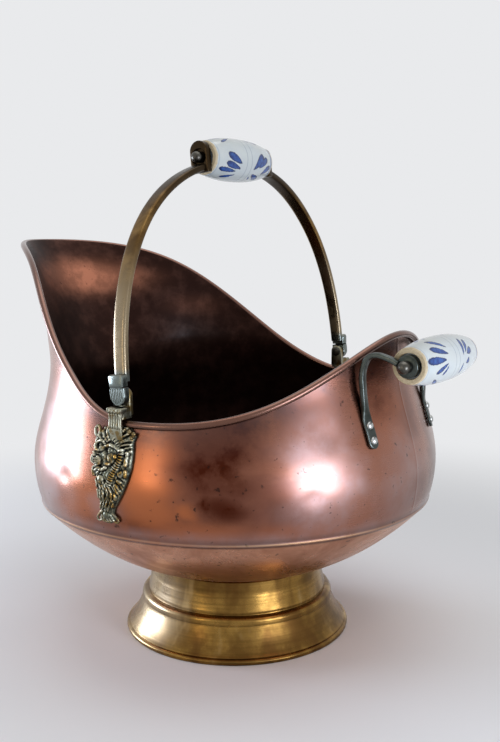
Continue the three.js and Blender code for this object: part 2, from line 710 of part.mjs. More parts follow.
const halfSpan = palmFace - PALM_THICKNESS - ARM_INSET;
const bailRise = BAIL_GRIP_RISE - ARCH_DROP;
const arch = (share) => (1 - share ** ARCH_POWER_SHARE) ** (1 / ARCH_POWER_SHARE);
const archHeight = (span) => bailRise * arch(span / halfSpan);
const archSpan = (height) => halfSpan * arch(height / bailRise);
const ARM_STATIONS = 12;
const bossInner = BAIL_GRIP_LENGTH / 2 + GRIP_PLAY;
const bossOuter = bossInner + BOSS_THICKNESS;

// A rounded bar section: half width along one axis, half thickness along the other.
function barSection(centre, wide, thick, halfWidth, halfThickness) {
  const corner = 0.62;
  const outline = [
    [-1, -corner], [-corner, -1], [corner, -1], [1, -corner],
    [1, corner], [corner, 1], [-corner, 1], [-1, corner],
  ];
  return outline.map(([u, v]) => centre.clone()
    .addScaledVector(wide, u * halfWidth)
    .addScaledVector(thick, v * halfThickness));
}

// The arm rises in its own plane and bends aside to the grip over its last stretch.
function armCourse() {
  const start = PALM_TOP - ARM_THICKNESS / 4;
  const tip = vec(BAIL_GRIP_ASIDE, mix(bossInner, bossOuter, 0.35), archHeight(bossOuter));
  const points = Array.from({ length: ARM_STATIONS - 1 }, (_, i) => {
    const share = (i / (ARM_STATIONS - 2)) ** 0.85;
    const turn = share * Math.PI / 2;
    const height = mix(start, archHeight(bossOuter), Math.sin(turn));
    const aside = BAIL_GRIP_ASIDE * ease(clamp01(2 * share - 1));
    return vec(aside, archSpan(height), height);
  });
  return [...points, tip];
}

function bailArm() {
  const course = armCourse();
  const wide = vec(1, 0, 0);
  const rings = course.map((point, i) => {
    const before = course[Math.max(0, i - 1)];
    const after = course[Math.min(course.length - 1, i + 1)];
    const thick = after.clone().sub(before).normalize().cross(wide).normalize();
    const share = i / (course.length - 1);
    return barSection(point, wide, thick, mix(ARM_WIDTH, ARM_TIP_WIDTH, share) / 2, ARM_THICKNESS / 2);
  });
  const palmInner = palmFace - PALM_THICKNESS;
  const palm = tab(PALM_WIDTH / 2, 0, PALM_TOP, palmInner, PALM_THICKNESS, false);
  const ribs = flutes(5, palmFace - FLUTE_RADIUS / 3, -PALM_WIDTH / 4, PALM_WIDTH / 4, 0);
  const bossFoot = BAIL_GRIP_RISE - BOSS_DROP;
  const bossShoulder = BAIL_GRIP_RISE + BOSS_RISE - BOSS_WIDTH / 2;
  const boss = tab(BOSS_WIDTH / 2, bossFoot, bossShoulder, bossInner, BOSS_THICKNESS, true);
  boss.translate(BAIL_GRIP_ASIDE, 0, 0);
  const recessRoom = [bossOuter - BOSS_RECESS_DEPTH, bossOuter + OVERRUN];
  const recess = barAlongY(BOSS_RECESS_RADIUS, ...recessRoom, BAIL_GRIP_ASIDE, BAIL_GRIP_RISE);
  const rodRoom = [bossInner - OVERRUN, bossOuter + OVERRUN];
  const rodHole = barAlongY(ROD_RADIUS + HOLE_PLAY, ...rodRoom, BAIL_GRIP_ASIDE, BAIL_GRIP_RISE);
  const pinRoom = [palmInner - OVERRUN, palmInner + PIN_DEPTH + 2 * SEAT_GAP];
  const pinHole = barAlongY(PIN_RADIUS + HOLE_PLAY, ...pinRoom);
  return without(joined(skin(rings, false), palm, boss, ...ribs), recess, rodHole, pinHole);
}

// Pottery barrel along Y, with its bore and a recess at each end

function grip(length) {
  const half = length / 2;
  const floor = half - GRIP_RECESS_DEPTH;
  const swell = [-1, -0.8, -0.45, 0, 0.45, 0.8, 1];
  const outside = swell.map((share) => [
    mix(GRIP_RADIUS, GRIP_END_RADIUS, Math.abs(share) ** 2.3),
    share * half,
  ]);
  const profile = [
    [GRIP_BORE_RADIUS, -floor],
    [GRIP_RECESS_RADIUS, -floor],
    [GRIP_RECESS_RADIUS, -half],
    ...outside,
    [GRIP_RECESS_RADIUS, half],
    [GRIP_RECESS_RADIUS, floor],
    [GRIP_BORE_RADIUS, floor],
    [GRIP_BORE_RADIUS, -floor],
  ];
  return turned(profile, 18).rotateX(Math.PI / 2);
}

// A domed nut that closes over the rod's end, its open face at the origin, along +Y
function domedNut() {
  const profile = [
    [0, NUT_BORE_DEPTH],
    [ROD_RADIUS + HOLE_PLAY, NUT_BORE_DEPTH],
    [ROD_RADIUS + HOLE_PLAY, 0],
    [NUT_RADIUS, 0],
    [NUT_RADIUS, NUT_LENGTH * 0.5],
    [NUT_RADIUS * 0.86, NUT_LENGTH * 0.8],
    [NUT_RADIUS * 0.5, NUT_LENGTH * 0.96],
    [0, NUT_LENGTH],
  ];
  return aim(turned(profile, 10), vec(0, 0, 0), vec(0, 1, 0));
}

const bailNutSeat = bossOuter - BOSS_RECESS_DEPTH + SEAT_GAP;
const gripRod = (nutSeat) => {
  const reach = nutSeat + NUT_BORE_DEPTH - SEAT_GAP;
  return barAlongY(ROD_RADIUS, -reach, reach);
};

// Rear handle: the +Y strap with its eye

const eyeInner = REAR_GRIP_LENGTH / 2 - EYE_SINK;
const eyeOuter = eyeInner + EYE_THICKNESS;
const rearNutSeat = eyeOuter + SEAT_GAP;

// The wall's angle where it stands at a given distance to the side, behind the bowl
function angleAtSide(lateral, height) {
  let angle = Math.PI - Math.asin(lateral / roundRadius(height));
  for (let i = 0; i < 8; i += 1) {
    const { x, y } = wallPoint(angle, height);
    angle = Math.PI - Math.asin(lateral / Math.hypot(x, y));
  }
  return angle;
}

const handleReach = rimRadius(Math.PI) + HANDLE_STAND;
const handleHeight = BACK_HEIGHT - HANDLE_DROP;
const strapBottom = handleHeight - STRAP_DROP;
const strapPalmTop = strapBottom + STRAP_PALM_LENGTH;
const crookStart = handleHeight - CROOK_DROP;
const crookTop = handleHeight + CROOK_RISE;
const palmSeat = SEAT_GAP + STRAP_PALM_THICKNESS / 2;
const strapSeat = (height) => seatOnWall(angleAtSide(STRAP_PALM_LATERAL, height), height);

function palmPoint(height) {
  const { origin, direction } = strapSeat(height);
  return origin.clone().addScaledVector(direction, palmSeat);
}

function rearStrap() {
  const beadSide = angleAtSide(STRAP_LATERAL, crookStart);
  const rise = wallPoint(beadSide, crookStart).x + CROOK_STAND_OFF + STRAP_BAR_THICKNESS / 2;
  const eyeEdge = handleReach - EYE_RADIUS * 0.8;
  const side = (x, z) => vec(x, STRAP_LATERAL, z);
  const course = new THREE.CatmullRomCurve3([
    palmPoint(strapBottom),
    palmPoint(mix(strapBottom, strapPalmTop, 0.5)),
    palmPoint(strapPalmTop),
    side(mix(rise, palmPoint(strapPalmTop).x, 0.14), mix(strapPalmTop, crookStart, 0.62)),
    side(rise, crookStart),
    side(mix(rise, eyeEdge, 0.14), mix(crookStart, crookTop, 0.78)),
    side(mix(rise, eyeEdge, 0.4), crookTop),
    side(mix(rise, eyeEdge, 0.74), mix(crookTop, handleHeight, 0.3)),
    side(eyeEdge, mix(crookTop, handleHeight, 0.75)),
  ], false, 'centripetal');
  const length = course.getLength();
  const palmShare = (strapPalmTop - strapBottom) / length;
  const roundShare = STRAP_PALM_WIDTH / 2 / length;
  const steps = [0.06, 0.3, 0.7, 1].map((share) => share * roundShare);
  const rest = Array.from({ length: 12 }, (_, i) => mix(roundShare, 1, (i + 1) / 12));
  const square = strapSeat(mix(strapBottom, strapPalmTop, 0.5)).direction;
  const lean = Math.atan2(square.y, square.x);
  const rings = [...steps, ...rest].map((share) => {
    const along = course.getTangentAt(share);
    const twist = lean * (1 - ease(clamp01((share - palmShare * 0.8) / palmShare)));
    const wide = vec(-Math.sin(twist), Math.cos(twist), 0);
    const thick = wide.clone().cross(along).normalize();
    const across = along.clone().cross(thick).normalize();
    const narrowing = ease(clamp01((share - palmShare * 0.85) / (palmShare * 0.5)));
    const roundEnd = share < roundShare ? Math.sqrt(1 - (1 - share / roundShare) ** 2) : 1;
    const width = mix(STRAP_PALM_WIDTH, STRAP_BAR_WIDTH, narrowing) * roundEnd;
    const thickness = mix(STRAP_PALM_THICKNESS, STRAP_BAR_THICKNESS, narrowing);
    return barSection(course.getPointAt(share), across, thick, width / 2, thickness / 2);
  });
  const eye = barAlongY(EYE_RADIUS, eyeInner, eyeOuter, handleReach, handleHeight, 20);
  const rodRoom = [eyeInner - OVERRUN, eyeOuter + OVERRUN];
  const rodHole = barAlongY(ROD_RADIUS + HOLE_PLAY, ...rodRoom, handleReach, handleHeight);
  const holes = strapRivetPlaces.map(({ origin, direction }) => barAlong(
    STRAP_RIVET_RADIUS + HOLE_PLAY, origin, direction, -OVERRUN, 2 * OVERRUN, RIVET_SIDES,
  ));
  return without(joined(skin(rings, false), eye), bodyRoom, rodHole, ...holes);
}

const strapRivetPlaces = [0.24, 0.69].map((share) => strapSeat(strapBottom + share * STRAP_PALM_LENGTH));

function strapRivet({ origin, direction }) {
  const gripLength = COPPER_SHEET + STRAP_PALM_THICKNESS + 4 * SEAT_GAP;
  const body = rivet(STRAP_RIVET_RADIUS, STRAP_RIVET_HEAD_RADIUS, gripLength);
  const start = origin.clone().addScaledVector(direction, -COPPER_SHEET - 2 * SEAT_GAP);
  return aim(body, start, direction);
}

// Mirror image through the bucket's middle plane, for the pieces of the -Y side
function mirrored(geometry) {
  const merged = weld(geometry);
  const positions = merged.attributes.position;
  const points = [];
  for (let i = 0; i < positions.count; i += 1) {
    points.push(vec(positions.getX(i), -positions.getY(i), positions.getZ(i)));
  }
  return outward(points, Array.from(merged.index.array));
}

// The body is drilled for every rivet, on both sides
function drilledBody() {
  const places = [
    ...maskRivetPlaces.map((place) => ({ ...place, radius: MASK_RIVET_RADIUS })),
    ...strapRivetPlaces.map((place) => ({ ...place, radius: STRAP_RIVET_RADIUS })),
  ];
  const drills = places.map(({ origin, direction, radius }) => barAlong(
    radius + HOLE_PLAY, origin, direction, -OVERRUN, OVERRUN, RIVET_SIDES,
  ));
  return without(upperBody, ...drills, ...drills.map(mirrored));
}

// Assembly

const group = new THREE.Group();

const bail = new THREE.Group();
bail.position.set(PIVOT_X, 0, pivotHeight);
bail.rotation.y = THREE.MathUtils.degToRad(BAIL_LEAN_DEG);
group.add(bail);

function add(parent, name, geometry, material) {
  const mesh = new THREE.Mesh(geometry, material);
  mesh.name = name;
  parent.add(mesh);
  return mesh;
}

function addPair(parent, name, geometry, material) {
  add(parent, name + '_right', geometry, material);
  add(parent, name + '_left', mirrored(geometry), material);
}

add(group, 'upper_body', drilledBody(), copper);
add(group, 'rim_wire', rimWire, ironWire);
add(group, 'bottom_pan', bottomPan, panCopper);
add(group, 'foot', foot, footBrass);

addPair(group, 'lion_mask', lionMask(), maskBrass);
maskRivetPlaces.forEach((place, i) => addPair(group, `mask_rivet_${i + 1}`, maskRivet(place), maskBrass));
addPair(group, 'pivot_pin', pivotPin(), darkMetal);

addPair(bail, 'bail_arm', bailArm(), armBrass);
const bailRod = add(bail, 'bail_rod', gripRod(bailNutSeat), darkMetal);
bailRod.position.set(BAIL_GRIP_ASIDE, 0, BAIL_GRIP_RISE);
const bailNut = domedNut().translate(BAIL_GRIP_ASIDE, bailNutSeat, BAIL_GRIP_RISE);
addPair(bail, 'bail_nut', bailNut, darkMetal);
const bailGrip = add(bail, 'bail_grip', grip(BAIL_GRIP_LENGTH), pottery);
bailGrip.position.set(BAIL_GRIP_ASIDE, 0, BAIL_GRIP_RISE);

addPair(group, 'rear_strap', rearStrap(), darkMetal);
strapRivetPlaces.forEach((place, i) => {
  addPair(group, `strap_rivet_${i + 1}`, strapRivet(place), rivetMetal);
});
const rearRod = add(group, 'rear_rod', gripRod(rearNutSeat), darkMetal);
rearRod.position.set(handleReach, 0, handleHeight);
addPair(group, 'rear_nut', domedNut().translate(handleReach, rearNutSeat, handleHeight), darkMetal);
const rearGrip = add(group, 'rear_grip', grip(REAR_GRIP_LENGTH), pottery);
rearGrip.position.set(handleReach, 0, handleHeight);

// The origin goes under the middle of the outline
const outline = new THREE.Box3().setFromObject(group);
group.position.x = -(outline.min.x + outline.max.x) / 2;

export default group;
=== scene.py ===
import math

import bpy
import numpy as np
from mathutils import Matrix, Vector


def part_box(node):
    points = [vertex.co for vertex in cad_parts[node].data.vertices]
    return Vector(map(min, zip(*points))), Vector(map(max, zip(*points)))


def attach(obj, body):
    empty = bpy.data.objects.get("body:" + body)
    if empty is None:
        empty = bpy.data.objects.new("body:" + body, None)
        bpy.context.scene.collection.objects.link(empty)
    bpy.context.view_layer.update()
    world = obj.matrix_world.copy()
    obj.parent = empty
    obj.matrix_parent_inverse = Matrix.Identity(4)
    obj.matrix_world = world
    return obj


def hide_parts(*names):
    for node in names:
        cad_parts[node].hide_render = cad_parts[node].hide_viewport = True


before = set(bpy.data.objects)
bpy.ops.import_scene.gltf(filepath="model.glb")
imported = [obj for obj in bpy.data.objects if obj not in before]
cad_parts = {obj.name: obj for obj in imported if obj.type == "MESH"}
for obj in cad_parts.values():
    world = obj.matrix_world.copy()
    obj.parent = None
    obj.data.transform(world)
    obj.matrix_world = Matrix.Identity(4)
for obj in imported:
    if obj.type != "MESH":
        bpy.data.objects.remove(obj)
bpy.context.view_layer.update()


# Upper body: one sheet of copper, 1 mm thick, raised by hand from the waist seam and drawn out
# to the pouring lip. Its edge is rolled over an iron wire, and a brazed lap closes it at the back.
# Lengths are in millimetres from the bucket's own axis, which passes through the foot.

AXIS_X = 500 * (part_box("foot")[0].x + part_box("foot")[1].x)
WAIST_HEIGHT, WAIST_RADIUS = 117.6, 161.5
BELLY_HEIGHT, BELLY_RADIUS = 150.0, 166.8
THROAT_HEIGHT, THROAT_RADIUS = 235.0, 149.0
SADDLE_HEIGHT, LIP_HEIGHT, BACK_HEIGHT, LIP_REACH = 199.5, 326.5, 256.5, 222.0
SADDLE_ANGLE, NOSE_ANGLE, NARROWING_ANGLE = np.radians((99.0, 23.0, 11.6))
SHEET, BEAD_RADIUS = 1.0, 2.6
RIDGE_TOP = WAIST_HEIGHT + 2.2


def mix(start, end, share):
    return start + (end - start) * share


def ease(share):
    share = np.clip(share, 0, 1)
    return share * share * (3 - 2 * share)


def round_radius(height):
    low = 1 - (1 - (height - WAIST_HEIGHT) / (BELLY_HEIGHT - WAIST_HEIGHT)) ** 2
    high = ease((height - BELLY_HEIGHT) / (THROAT_HEIGHT - BELLY_HEIGHT))
    return np.where(height < BELLY_HEIGHT, mix(WAIST_RADIUS, BELLY_RADIUS, low),
                    mix(BELLY_RADIUS, THROAT_RADIUS, high))


def rim_height(angle):
    turn = np.abs(angle)
    ahead = np.clip(turn / SADDLE_ANGLE, 0, 1) ** 1.2
    behind = np.clip((turn - SADDLE_ANGLE) / (math.pi - SADDLE_ANGLE), 0, 1) ** 1.38
    return np.where(turn < SADDLE_ANGLE,
                    mix(SADDLE_HEIGHT, LIP_HEIGHT, (1 + np.cos(math.pi * ahead)) / 2),
                    mix(SADDLE_HEIGHT, BACK_HEIGHT, (1 - np.cos(math.pi * behind)) / 2))


def rim_radius(angle):
    blunt = np.hypot(angle, NOSE_ANGLE) - NOSE_ANGLE
    return mix(round_radius(rim_height(angle)), LIP_REACH, np.exp(-blunt / NARROWING_ANGLE))


def wall_face(angle, height):
    angle, height = np.broadcast_arrays(np.asarray(angle, float), np.asarray(height, float))
    top = rim_height(angle)
    start = mix(WAIST_HEIGHT, top, 0.42)
    climb = np.clip((height - start) / (top - start), 0, 1) ** 1.3
    radius = round_radius(height) + (rim_radius(angle) - round_radius(top)) * climb
    return np.stack([-radius * np.cos(angle), radius * np.sin(angle), height], -1)


def unit(vectors):
    return vectors / np.linalg.norm(vectors, axis=-1, keepdims=True)


def wall_normal(angle, height):
    up = wall_face(angle, height) - wall_face(angle, np.asarray(height) - 0.01)
    ahead, behind = np.asarray(angle) + 1e-4, np.asarray(angle) - 1e-4
    along = wall_face(ahead, height) - wall_face(behind, height)
    return unit(np.cross(up, along))


def wall(angle, height, lift=0.0):
    """A point on the wall's outer face, lifted off it along the face's normal."""
    return wall_face(angle, height) + wall_normal(angle, height) * np.asarray(lift)[..., None]


def bead(angle, radius, degrees):
    """A point of the rolled edge's round section, which stands square to the rim's course."""
    edge = wall_face(angle, rim_height(angle))
    along = unit(wall_face(angle + 1e-4, rim_height(angle + 1e-4))
                 - wall_face(angle - 1e-4, rim_height(angle - 1e-4)))
    out = wall_normal(angle, rim_height(angle))
    out = unit(out - along * np.sum(out * along, -1, keepdims=True))
    up = np.cross(along, out)
    turn = math.radians(degrees)
    centre = edge + out * (BEAD_RADIUS - SHEET)
    return centre + out * radius * math.cos(turn) + up * radius * math.sin(turn)


# Dents: degrees round from the lip, height, depth and reach
DENTS = (
    (-76, 156, 1.3, 8), (-68, 203, 0.6, 7), (-144, 151, 0.5, 6), (-52, 152, 0.9, 9),
    (-60, 171, 0.5, 7), (-118, 163, 0.5, 12), (-133, 140, 0.6, 8), (-24, 250, 0.7, 15),
    (18, 262, 0.8, 17), (70, 168, 0.7, 13), (128, 186, 0.6, 11), (-150, 190, 0.4, 10),
    (-77, 139, 0.5, 8), (-104, 139, 0.35, 6), (40, 150, 0.6, 9))
# Seats of the masks and the rear straps, where the sheet lies true: angle and reach in radians
SEATS = ((1.62, 0.17), (2.81, 0.08))

def hand_work(angle, height):
    """How far the hammered sheet strays from its true form, in slow waves and a few dents."""
    round_way = BELLY_RADIUS * angle
    waves = 0.17 * np.sin(5 * angle + 1.1 * np.sin(height / 27)) * np.sin(height / 23 + 0.6)
    waves = waves + 0.06 * np.sin(13 * angle + height / 17 + 2) * np.sin(height / 11 - 6 * angle)
    for degrees, at, depth, reach in DENTS:
        away = np.hypot(round_way - BELLY_RADIUS * math.radians(degrees), height - at) / reach
        waves = waves - depth * np.exp(-away * away)
    clear = ease((height - 122) / 14) * ease((rim_height(angle) - 4 - height) / 12)
    for seat, reach in SEATS:
        clear = clear * (1 - np.exp(-((np.abs(angle) - seat) / reach) ** 4))
    seam = 0.22 * np.exp(-((math.pi - np.abs(angle)) * BELLY_RADIUS / 0.9) ** 2)
    return waves * clear + seam * ease((height - 121) / 3)


def shell(rings, closed=False):
    """A closed skin over rings of points: a ring in itself, or else with a face on each end."""
    rings = np.array(rings)
    count, size = rings.shape[:2]
    index = np.arange(count * size).reshape(count, size)
    here, there = (index, np.roll(index, -1, 0)) if closed else (index[:-1], index[1:])
    quads = np.stack([here, np.roll(here, -1, 1), np.roll(there, -1, 1), there], -1)
    faces = quads.reshape(-1, 4).tolist()
    if not closed:
        faces += [index[0][::-1].tolist(), index[-1].tolist()]
    return rings, faces


def outward(points, faces):
    """Turns the faces of a closed skin so that they look out of it."""
    volume = 0.0
    for face in faces:
        corners = points[face]
        for i in range(1, len(face) - 1):
            volume += np.dot(corners[0], np.cross(corners[i], corners[i + 1]))
    return faces if volume > 0 else [face[::-1] for face in faces]


def in_scene(name, data):
    made = bpy.data.objects.new(name, data)
    bpy.context.collection.objects.link(made)
    return made


def piece(name, skins, material, crease):
    """A mesh in metres from closed skins, each one points in millimetres and its faces."""
    points, faces, start = [], [], 0
    for skin_points, skin_faces in skins:
        skin_points = np.asarray(skin_points, float).reshape(-1, 3)
        faces += [[start + i for i in face] for face in outward(skin_points, skin_faces)]
        points.append(skin_points)
        start += len(skin_points)
    mesh = bpy.data.meshes.new(name)
    mesh.from_pydata(((np.concatenate(points) + (AXIS_X, 0, 0)) / 1000).tolist(), [], faces)
    mesh.polygons.foreach_set("use_smooth", [True] * len(mesh.polygons))
    mesh.set_sharp_from_angle(angle=math.radians(crease))
    mesh.materials.append(material)
    return in_scene(name, mesh)


def layer(made, name, values):
    """Keeps a value on each point of a piece, which its material reads by name."""
    made.data.attributes.new(name, "FLOAT", "POINT").data.foreach_set("value", values.reshape(-1))


def linear(colour):
    """An sRGB hex colour as linear light."""
    parts = [int(colour[i:i + 2], 16) / 255 for i in (1, 3, 5)]
    return tuple(c / 12.92 if c <= 0.04045 else ((c + 0.055) / 1.055) ** 2.4 for c in parts) + (1,)


def node(tree, kind, inputs=None, **settings):
    """Adds one node, a shader's where the kind names no family of its own. An input takes a
    value, a hex colour, an output, or another node for the first output it has in use."""
    made = tree.nodes.new(kind if "Node" in kind else "ShaderNode" + kind)
    for name, value in settings.items():
        setattr(made, name, value)
    for name, value in (inputs or {}).items():
        if isinstance(value, bpy.types.Node):
            value = next(output for output in value.outputs if output.enabled)
        if isinstance(value, bpy.types.NodeSocket):
            tree.links.new(value, made.inputs[name])
        else:
            is_colour = isinstance(value, str) and value.startswith("#")
            made.inputs[name].default_value = linear(value) if is_colour else value
    return made


def new_material(name):
    """An empty material, its tree and the place on the piece that its patterns read."""
    made = bpy.data.materials.new(name)
    made.use_nodes = True
    tree = made.node_tree
    tree.nodes.clear()
    return made, tree, node(tree, "TexCoord").outputs["Object"]


def clouding(tree, place, size, detail, roughness, low, high, most=1.0, distortion=0.0):
    """Clouds of a size in millimetres: their noise, and their share from none to most."""
    noise = node(tree, "TexNoise", {"Vector": place, "Scale": 1000 / size, "Detail": detail,
                                    "Roughness": roughness, "Distortion": distortion})
    return noise, node(tree, "MapRange", {0: noise, 1: low, 2: high, 4: most},
                       interpolation_type="SMOOTHSTEP")


def coats(tree, under, *layers):
    """Colours laid one over another, each as [share, colour]."""
    for share, colour in layers:
        under = node(tree, "Mix", {0: share, 6: under, 7: colour}, data_type="RGBA")
    return under


def surface(tree, colour, rough, dulling=(), bumps=None, metallic=1.0, others=()):
    """Ends a material with its shader: roughness and what dulls it further, each as [share,
    amount], and fine bumps as [strength, depth, pattern]."""
    for share, amount in dulling:
        rough = node(tree, "Math", {0: share, 1: amount, 2: rough}, operation="MULTIPLY_ADD")
    inputs = {"Base Color": colour, "Metallic": metallic, "Roughness": rough, **dict(others)}
    if bumps:
        inputs["Normal"] = node(tree, "Bump", dict(zip(("Strength", "Distance", "Height"), bumps)))
    node(tree, "OutputMaterial", {"Surface": node(tree, "BsdfPrincipled", inputs)})


# Polished copper sheet, tarnished in use under old lacquer: warm brown metal with red-brown
# tarnish that is partly a painted dark reflection, a rosy grey bloom that is partly a painted
# pale halo round the highlights, bright patches that are partly a painted warm glow, dark specks
# and fine rubbing marks. A band under the rim is painted darker, as film and as a dark
# reflection. The seam at the waist keeps a line of dirt and painted shade over a ridge rubbed
# golden. The inside is painted dark, as smoke and as shade, but for a lighter patch by the lip
# that is rubbed metal and a painted reflection.
copper, tree, place = new_material("polished copper, tarnished and lacquered")
_, cloudy = clouding(tree, place, 70, 5.0, 0.55, 0.36, 0.66, distortion=0.6)
mottle, mottled = clouding(tree, place, 18, 6.0, 0.62, 0.4, 0.68)
_, speckled = clouding(tree, place, 4.5, 3.0, 0.5, 0.66, 0.74, most=0.8)
brushing = node(tree, "Mapping", {"Vector": place, "Scale": (60, 60, 900)})
rubs = node(tree, "TexNoise", {"Vector": brushing, "Scale": 1.0, "Detail": 3.0})
rubbed = node(tree, "MapRange", {0: rubs, 1: 0.35, 2: 0.7, 3: -0.05, 4: 0.05})
bright, seam, ridge, edge, inside = [
    node(tree, "Attribute", attribute_name=name).outputs["Fac"]
    for name in ("bright", "seam_dirt_and_shade", "seam_ridge", "rolled_edge", "inner_face")]
uneven = node(tree, "Math", {0: mottled, 1: 0.5, 2: 0.65}, operation="MULTIPLY_ADD")
tarnish_and_dark_reflection_share, bloom_and_halo_share, film_and_dark_reflection, bared_and_reflecting = [
    node(tree, "Math", {0: node(tree, "Attribute", attribute_name=name).outputs["Fac"], 1: uneven},
         operation="MULTIPLY", use_clamp=True)
    for name in ("tarnish", "bloom", "rim_film_and_dark_reflection", "rubbed_patch_and_reflection")]
# Lighter metal of the patch inside by the lip, partly a painted reflection.
bare_metal_and_reflection = coats(tree, "#9c6650", (speckled, "#3c2118"))
# The inside is painted dark, as smoke and as shade.
smoke_and_shade = coats(tree, "#2b1b17", (mottled, "#3f2a24"), (bared_and_reflecting, bare_metal_and_reflection))
# Painted light and shade among these layers: dark reflection, pale halo, warm glow, seam shade,
# dark inside.
colour = coats(tree, "#955d45", (cloudy, "#6e402f"), (bright, "#a95f36"), (tarnish_and_dark_reflection_share, "#431a0c"),
               (bloom_and_halo_share, "#967772"), (speckled, "#2e1a13"), (film_and_dark_reflection, "#4b3836"), (seam, "#2a1812"),
               (ridge, "#cfa677"), (edge, "#6b4a3d"), (inside, smoke_and_shade))
worn_off = node(tree, "Math", {0: tarnish_and_dark_reflection_share, 1: inside}, operation="MAXIMUM")
kept = node(tree, "Math", {0: bloom_and_halo_share, 1: 0.5, 2: 0.45}, operation="MULTIPLY_ADD")
lacquer = node(tree, "Math", {0: worn_off, 1: -0.45, 2: kept}, operation="MULTIPLY_ADD",
               use_clamp=True)
surface(tree, colour, 0.25, ((cloudy, 0.07), (bloom_and_halo_share, 0.1), (rubbed, 0.35), (inside, 0.2)),
        (0.1, 0.0004, mottle), others={"Coat Weight": lacquer, "Coat Roughness": 0.22})

# Patches of tarnish and painted dark reflection, of bloom and painted pale halo, of bright metal
# and painted warm glow, and of wear and painted reflection: degrees round from the lip, height,
# reach round, reach up and strength
# Those at negative angles, on the side facing the camera, are painted dark reflections as well as
# tarnish.
TARNISH_AND_DARK_REFLECTION = (
    (-121, 186, 28, 42, 1.0), (-121, 146, 17, 11, 1.4), (-168, 220, 30, 26, 0.6),
    (-96, 126, 40, 9, 0.6), (62, 190, 60, 40, 0.8), (132, 168, 46, 45, 0.9),
    (15, 225, 40, 60, 0.7), (-35, 250, 26, 40, 0.5), (168, 140, 50, 20, 0.6))
# Those at negative angles, on the side facing the camera, are also a painted pale halo round the
# highlights.
BLOOM_AND_HIGHLIGHT_HALO = (
    (-96, 121, 800, 7, 0.6), (-148, 165, 32, 46, 1.0), (-68, 180, 36, 66, 1.0),
    (-174, 152, 34, 36, 0.7), (-92, 141, 14, 12, 0.8), (36, 200, 40, 55, 0.7),
    (100, 165, 36, 40, 0.8), (152, 212, 30, 30, 0.5), (-10, 180, 40, 40, 0.5))
# Those at -102 and -113.5 degrees, beside the mask, are a painted warm glow as well as bright
# metal.
BRIGHT_AND_WARM_GLOW = (
    (-110, 128, 55, 9, 0.8), (-142, 127, 40, 7, 0.5), (-102, 148, 26, 62, 1.0),
    (-113.5, 143, 8, 7, 1.0), (-78, 132, 18, 20, 0.8), (-84, 138, 26, 26, 0.9),
    (48, 160, 30, 34, 0.8), (118, 190, 26, 24, 0.7), (-172, 200, 22, 24, 0.4),
    (2, 150, 30, 26, 0.7))
# The lighter patch inside by the lip is rubbed metal and a painted reflection as well.
RUBBED_AND_REFLECTION = (
    (5, 292, 52, 15, 1.0), (40, 262, 30, 10, 0.15), (-50, 240, 20, 10, 0.3))


def patches(angle, height, places):
    """Strength of soft-edged patches on the wall."""
    strength = np.zeros(np.broadcast(angle, height).shape)
    for degrees, at, reach_round, reach_up, peak in places:
        turn = (angle - math.radians(degrees) + math.pi) % (2 * math.pi) - math.pi
        ragged = 5 * np.sin(height / 9 + degrees) + 2.5 * np.sin(height / 3.3 + 2 * degrees)
        away = np.hypot((turn * BELLY_RADIUS + ragged) / reach_round, (height - at) / reach_up)
        strength = np.maximum(strength, peak * np.exp(-away ** 3))
    return strength


even_stations = np.linspace(-math.pi, math.pi, 300, endpoint=False)
seam_stations = math.pi - np.array([-2.2, -1.4, -0.7, 0.7, 1.4, 2.2]) / BELLY_RADIUS
seam_stations = (seam_stations + math.pi) % (2 * math.pi) - math.pi
stations = np.sort(np.concatenate([even_stations, seam_stations]))
rows = [height + 0 * stations for height in np.linspace(RIDGE_TOP + 1, BELLY_HEIGHT, 10)]
rows += [mix(BELLY_HEIGHT, rim_height(stations), share) for share in np.linspace(0, 0.975, 37)[1:]]
# The rolled edge: degrees round its section where the curl opens and ends, and faces inwards
CURL_OPEN, CURL_END, CURL_INWARDS = -95, 180, 165
# Every course round the sheet and whether it lies inside: seam, wall, the curl's inner and
# outer face, and back down the inner wall
courses = [(wall(stations, height, lift), 0) for height, lift in (
    (WAIST_HEIGHT, 0.35), (WAIST_HEIGHT + 0.3, 0.6), (WAIST_HEIGHT + 1.5, 0.6), (RIDGE_TOP, 0.05))]
courses += [(wall(stations, row, hand_work(stations, row)), 0) for row in rows]
edge_start = len(courses)
courses += [(bead(stations, BEAD_RADIUS - SHEET, degrees), 0)
            for degrees in np.linspace(CURL_END, CURL_OPEN, 15)]
courses += [(bead(stations, BEAD_RADIUS, degrees), degrees > CURL_INWARDS)
            for degrees in np.linspace(CURL_OPEN, CURL_END, 19)]
edge_end = len(courses)
courses += [(wall(stations, row, hand_work(stations, row) - SHEET), 1) for row in rows[::-1]]
courses += [(wall(stations, height, -SHEET), 1) for height in (RIDGE_TOP, WAIST_HEIGHT)]
body_points = np.stack([points for points, _ in courses], 1)
upper_body = piece("copper_upper_body", [shell(body_points, True)], copper, 70)
angle, height = np.arctan2(body_points[..., 1], -body_points[..., 0]), body_points[..., 2]
is_inner = np.array([inner for _, inner in courses], float)
is_edge = np.zeros(len(courses))
is_edge[edge_start:edge_end] = 1
for name, places in (("tarnish", TARNISH_AND_DARK_REFLECTION), ("bright", BRIGHT_AND_WARM_GLOW), ("bloom", BLOOM_AND_HIGHLIGHT_HALO),
                     ("rubbed_patch_and_reflection", RUBBED_AND_REFLECTION)):
    layer(upper_body, name, patches(angle, height, places))
layer(upper_body, "inner_face", is_inner + 0 * height)
layer(upper_body, "rolled_edge", is_edge + 0 * height)
